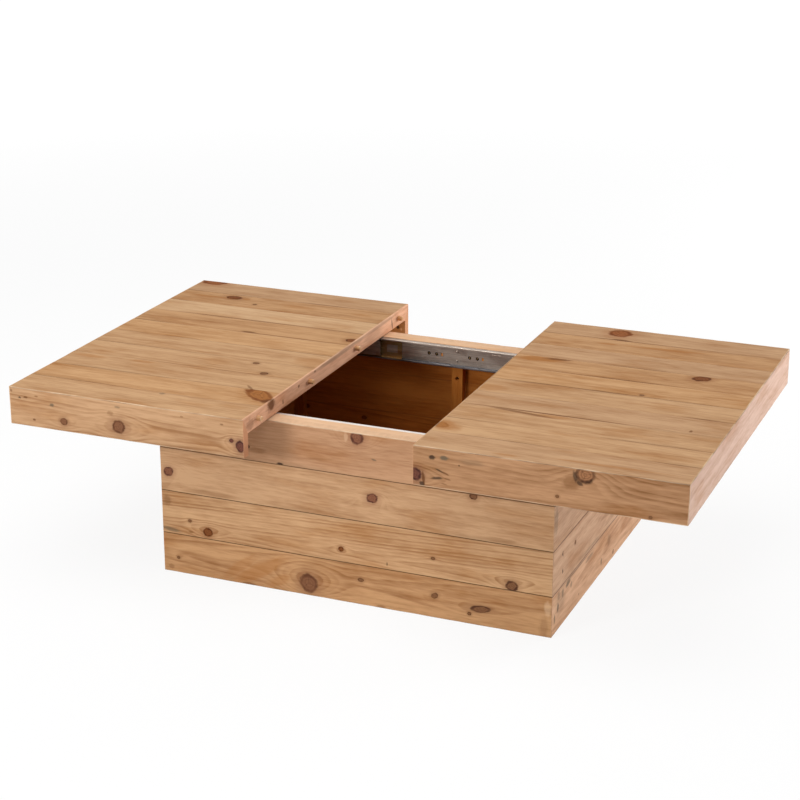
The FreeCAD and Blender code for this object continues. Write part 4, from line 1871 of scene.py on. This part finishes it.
@dataclass
class Slides:
    """The ball-bearing slides and the wood that carries the runners."""

    zinc: MetalFinish = MetalFinish("zinc", srgb(198, 184, 172), srgb(142, 130, 120), cool_below=304 * MM)
    # A whiter copy of the zinc for the front channel: painted highlight on its lip.
    clean_zinc: MetalFinish = MetalFinish("clean_zinc", srgb(246, 238, 230), srgb(206, 196, 188))
    cage: MetalFinish = MetalFinish("cage_sheet", srgb(182, 150, 104), srgb(134, 110, 74))
    brass: MetalFinish = MetalFinish("screw_brass", srgb(214, 188, 140), srgb(150, 120, 80))
    # Near-black for the screw heads' borders: painted shade.
    rim_shade: MetalFinish = MetalFinish("screw_tarnish", srgb(40, 28, 18), srgb(24, 17, 11))
    screw: DomedScrew = DomedScrew()
    sheet: float = 1.2 * MM
    screw_offsets: tuple[float, ...] = (-63 * MM, -46 * MM, 28 * MM, 45 * MM)
    end_screw_inset: float = 25 * MM
    block_screw_setback: float = 8 * MM
    block_screw_height: float = 273 * MM

    def build(self) -> None:
        """Drives the screws of the channels and of the battens' blocks, as one piece."""
        mesh = bmesh.new()
        channel = Block.of("back_channel")
        reach = channel.high.x - self.end_screw_inset
        for way in (-1.0, 1.0):
            places = [Vector((offset, way * (channel.high.y - self.sheet), channel.centre.z))
                      for offset in (-reach, *self.screw_offsets, reach)]
            behind = way * (channel.high.y + self.block_screw_setback)
            places.append(Vector((0.0, behind, self.block_screw_height)))
            for place in places:
                self.screw.drive(mesh, place, -way * AXES[1])
        piece = meshed("dressed_base_screws", mesh, self.brass.material(), self.rim_shade.material())
        hang(piece, "base", "base_screws")

    def dress(self) -> None:
        """Dresses the hardware that keeps its CAD form, and the wood that carries it."""
        for finish, nodes in ((self.clean_zinc, ("front_channel",)),
                              (self.zinc, ("back_channel", "left_runners", "right_runners")),
                              (self.cage, ("left_ball_cages", "right_ball_cages")),
                              (self.brass, ("left_screws", "right_screws"))):
            for node in nodes:
                dress_node(node, finish.material())
        # The cleats are painted dark all through, tone and the well's deep tint together: painted shade for
        # the shadow under the halves.
        for node, tone in (("left_cleats", Tone.CLEAT_SHADE), ("right_cleats", Tone.CLEAT_SHADE),
                           ("alignment_dowels", Tone.BEECH)):
            block = Block.of(node)
            pine = PineFinish(grime=0.0, well=block if tone is Tone.CLEAT_SHADE else None)
            dress_node(node, pine.material(node, block, block, Lie.TOP, Timber(tone, Cut.RIFT)))


@dataclass(frozen=True)
class SoftBox:
    """A large soft lamp that faces a point on the table."""

    name: str
    place: Triple
    breadth: float
    height: float
    watts: float
    aim: Triple = (0.0, 0.0, 0.25)

    def build(self) -> None:
        """Hangs the lamp."""
        data = bpy.data.lights.new(self.name, "AREA")
        data.shape = "RECTANGLE"
        data.size = self.breadth
        data.size_y = self.height
        data.energy = self.watts
        set_up(linked(self.name, data), self.place, Vector(self.aim) - Vector(self.place))


def set_up(piece: Object, place: Triple, forward: Vector) -> None:
    """Puts a lamp or camera at a place and turns it the way it is to look."""
    piece.location = place
    piece.rotation_euler = forward.to_track_quat("-Z", "Y").to_euler()


@dataclass
class Studio:
    """White floor and sky, soft lamps and the camera."""

    camera_place: Triple = (1.3808, -3.4142, 1.6058)
    camera_forward: Triple = (-0.35854, 0.87258, -0.33174)
    camera_lens: float = 88.72
    floor_reach: float = 40.0
    floor_cells: int = 8
    paper: float = 0.93
    paper_mottle: float = -0.03
    paper_lumps: Triple = (3.0, 3.0, 3.0)
    paper_roughness: Ramp = Ramp(0.0, 1.0, 0.7, 0.9)
    sky: float = 0.36
    floor_lift: float = 0.88
    floor_glow: Ramp = Ramp(2.0, 7.0, 1.0, 1.16)
    lamps: tuple[SoftBox, ...] = (
        SoftBox("key_lamp", (-2.0, -4.2, 1.7), 1.4, 1.2, 110.0),
        SoftBox("top_lamp", (-0.3, -0.6, 3.4), 3.0, 3.0, 68.0),
        SoftBox("side_lamp", (2.2, 3.0, 0.7), 2.2, 1.4, 115.0),
    )

    def build(self) -> None:
        """Builds the studio."""
        bpy.context.scene.view_settings.view_transform = "Standard"
        self.floor()
        self.world()
        for lamp in self.lamps:
            lamp.build()
        data = bpy.data.cameras.new("camera")
        data.lens = self.camera_lens
        camera = linked("camera", data)
        set_up(camera, self.camera_place, Vector(self.camera_forward))
        bpy.context.scene.camera = camera

    def floor(self) -> None:
        """Lays the floor."""
        shape = bmesh.new()
        bmesh.ops.create_grid(shape, x_segments=self.floor_cells, y_segments=self.floor_cells,
                              size=self.floor_reach)
        blank = Blank.start("floor_paper")
        wiring = blank.wiring
        mottle = blank.where.noise(self.paper_lumps, 0.0, detail=3.0)
        blank.feed({"Base Color": mottle * self.paper_mottle + self.paper,
                    "Roughness": mottle.ease(self.paper_roughness)})
        glow = blank.where.measure("LENGTH").ease(self.floor_glow)
        white = wiring.add("ShaderNodeEmission", {"Color": WHITE, "Strength": glow})[0]
        paper = Signal(wiring, blank.shader.outputs[0])
        share = seen_white(wiring) * self.floor_lift
        blend = wiring.add("ShaderNodeMixShader", {0: share, 1: paper, 2: white})[0]
        out = next(node for node in wiring.tree.nodes if node.type == "OUTPUT_MATERIAL")
        wiring.feed(out.inputs["Surface"], blend)
        meshed("floor", shape, blank.material)

    def world(self) -> None:
        """Lights the sky evenly, and shows it white to the camera and in reflections."""
        world = bpy.data.worlds.new("sky")
        world.use_nodes = True
        bpy.context.scene.world = world
        wiring = Wiring(world.node_tree)
        background = world.node_tree.nodes["Background"]
        wiring.feed(background.inputs["Color"], WHITE)
        wiring.feed(background.inputs["Strength"], seen_white(wiring) * (1.0 - self.sky) + self.sky)


def seen_white(wiring: Wiring) -> Signal:
    """1 for rays from the camera, reflections and glass, and 0 for light that falls on the table."""
    path = wiring.add("ShaderNodeLightPath")
    return path["Is Camera Ray"].most(path["Is Glossy Ray"]).most(path["Is Transmission Ray"])


def main() -> None:
    """Builds and dresses the table and its studio."""
    logging.basicConfig(level=logging.INFO, format="%(name)s %(message)s")
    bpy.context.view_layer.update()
    Studio().build()
    for side in ("left", "right"):
        TopHalf(side).build()
    base = BaseBox()
    base.build()
    base.dress()
    slides = Slides()
    slides.build()
    slides.dress()


if __name__ == "__main__":
    main()
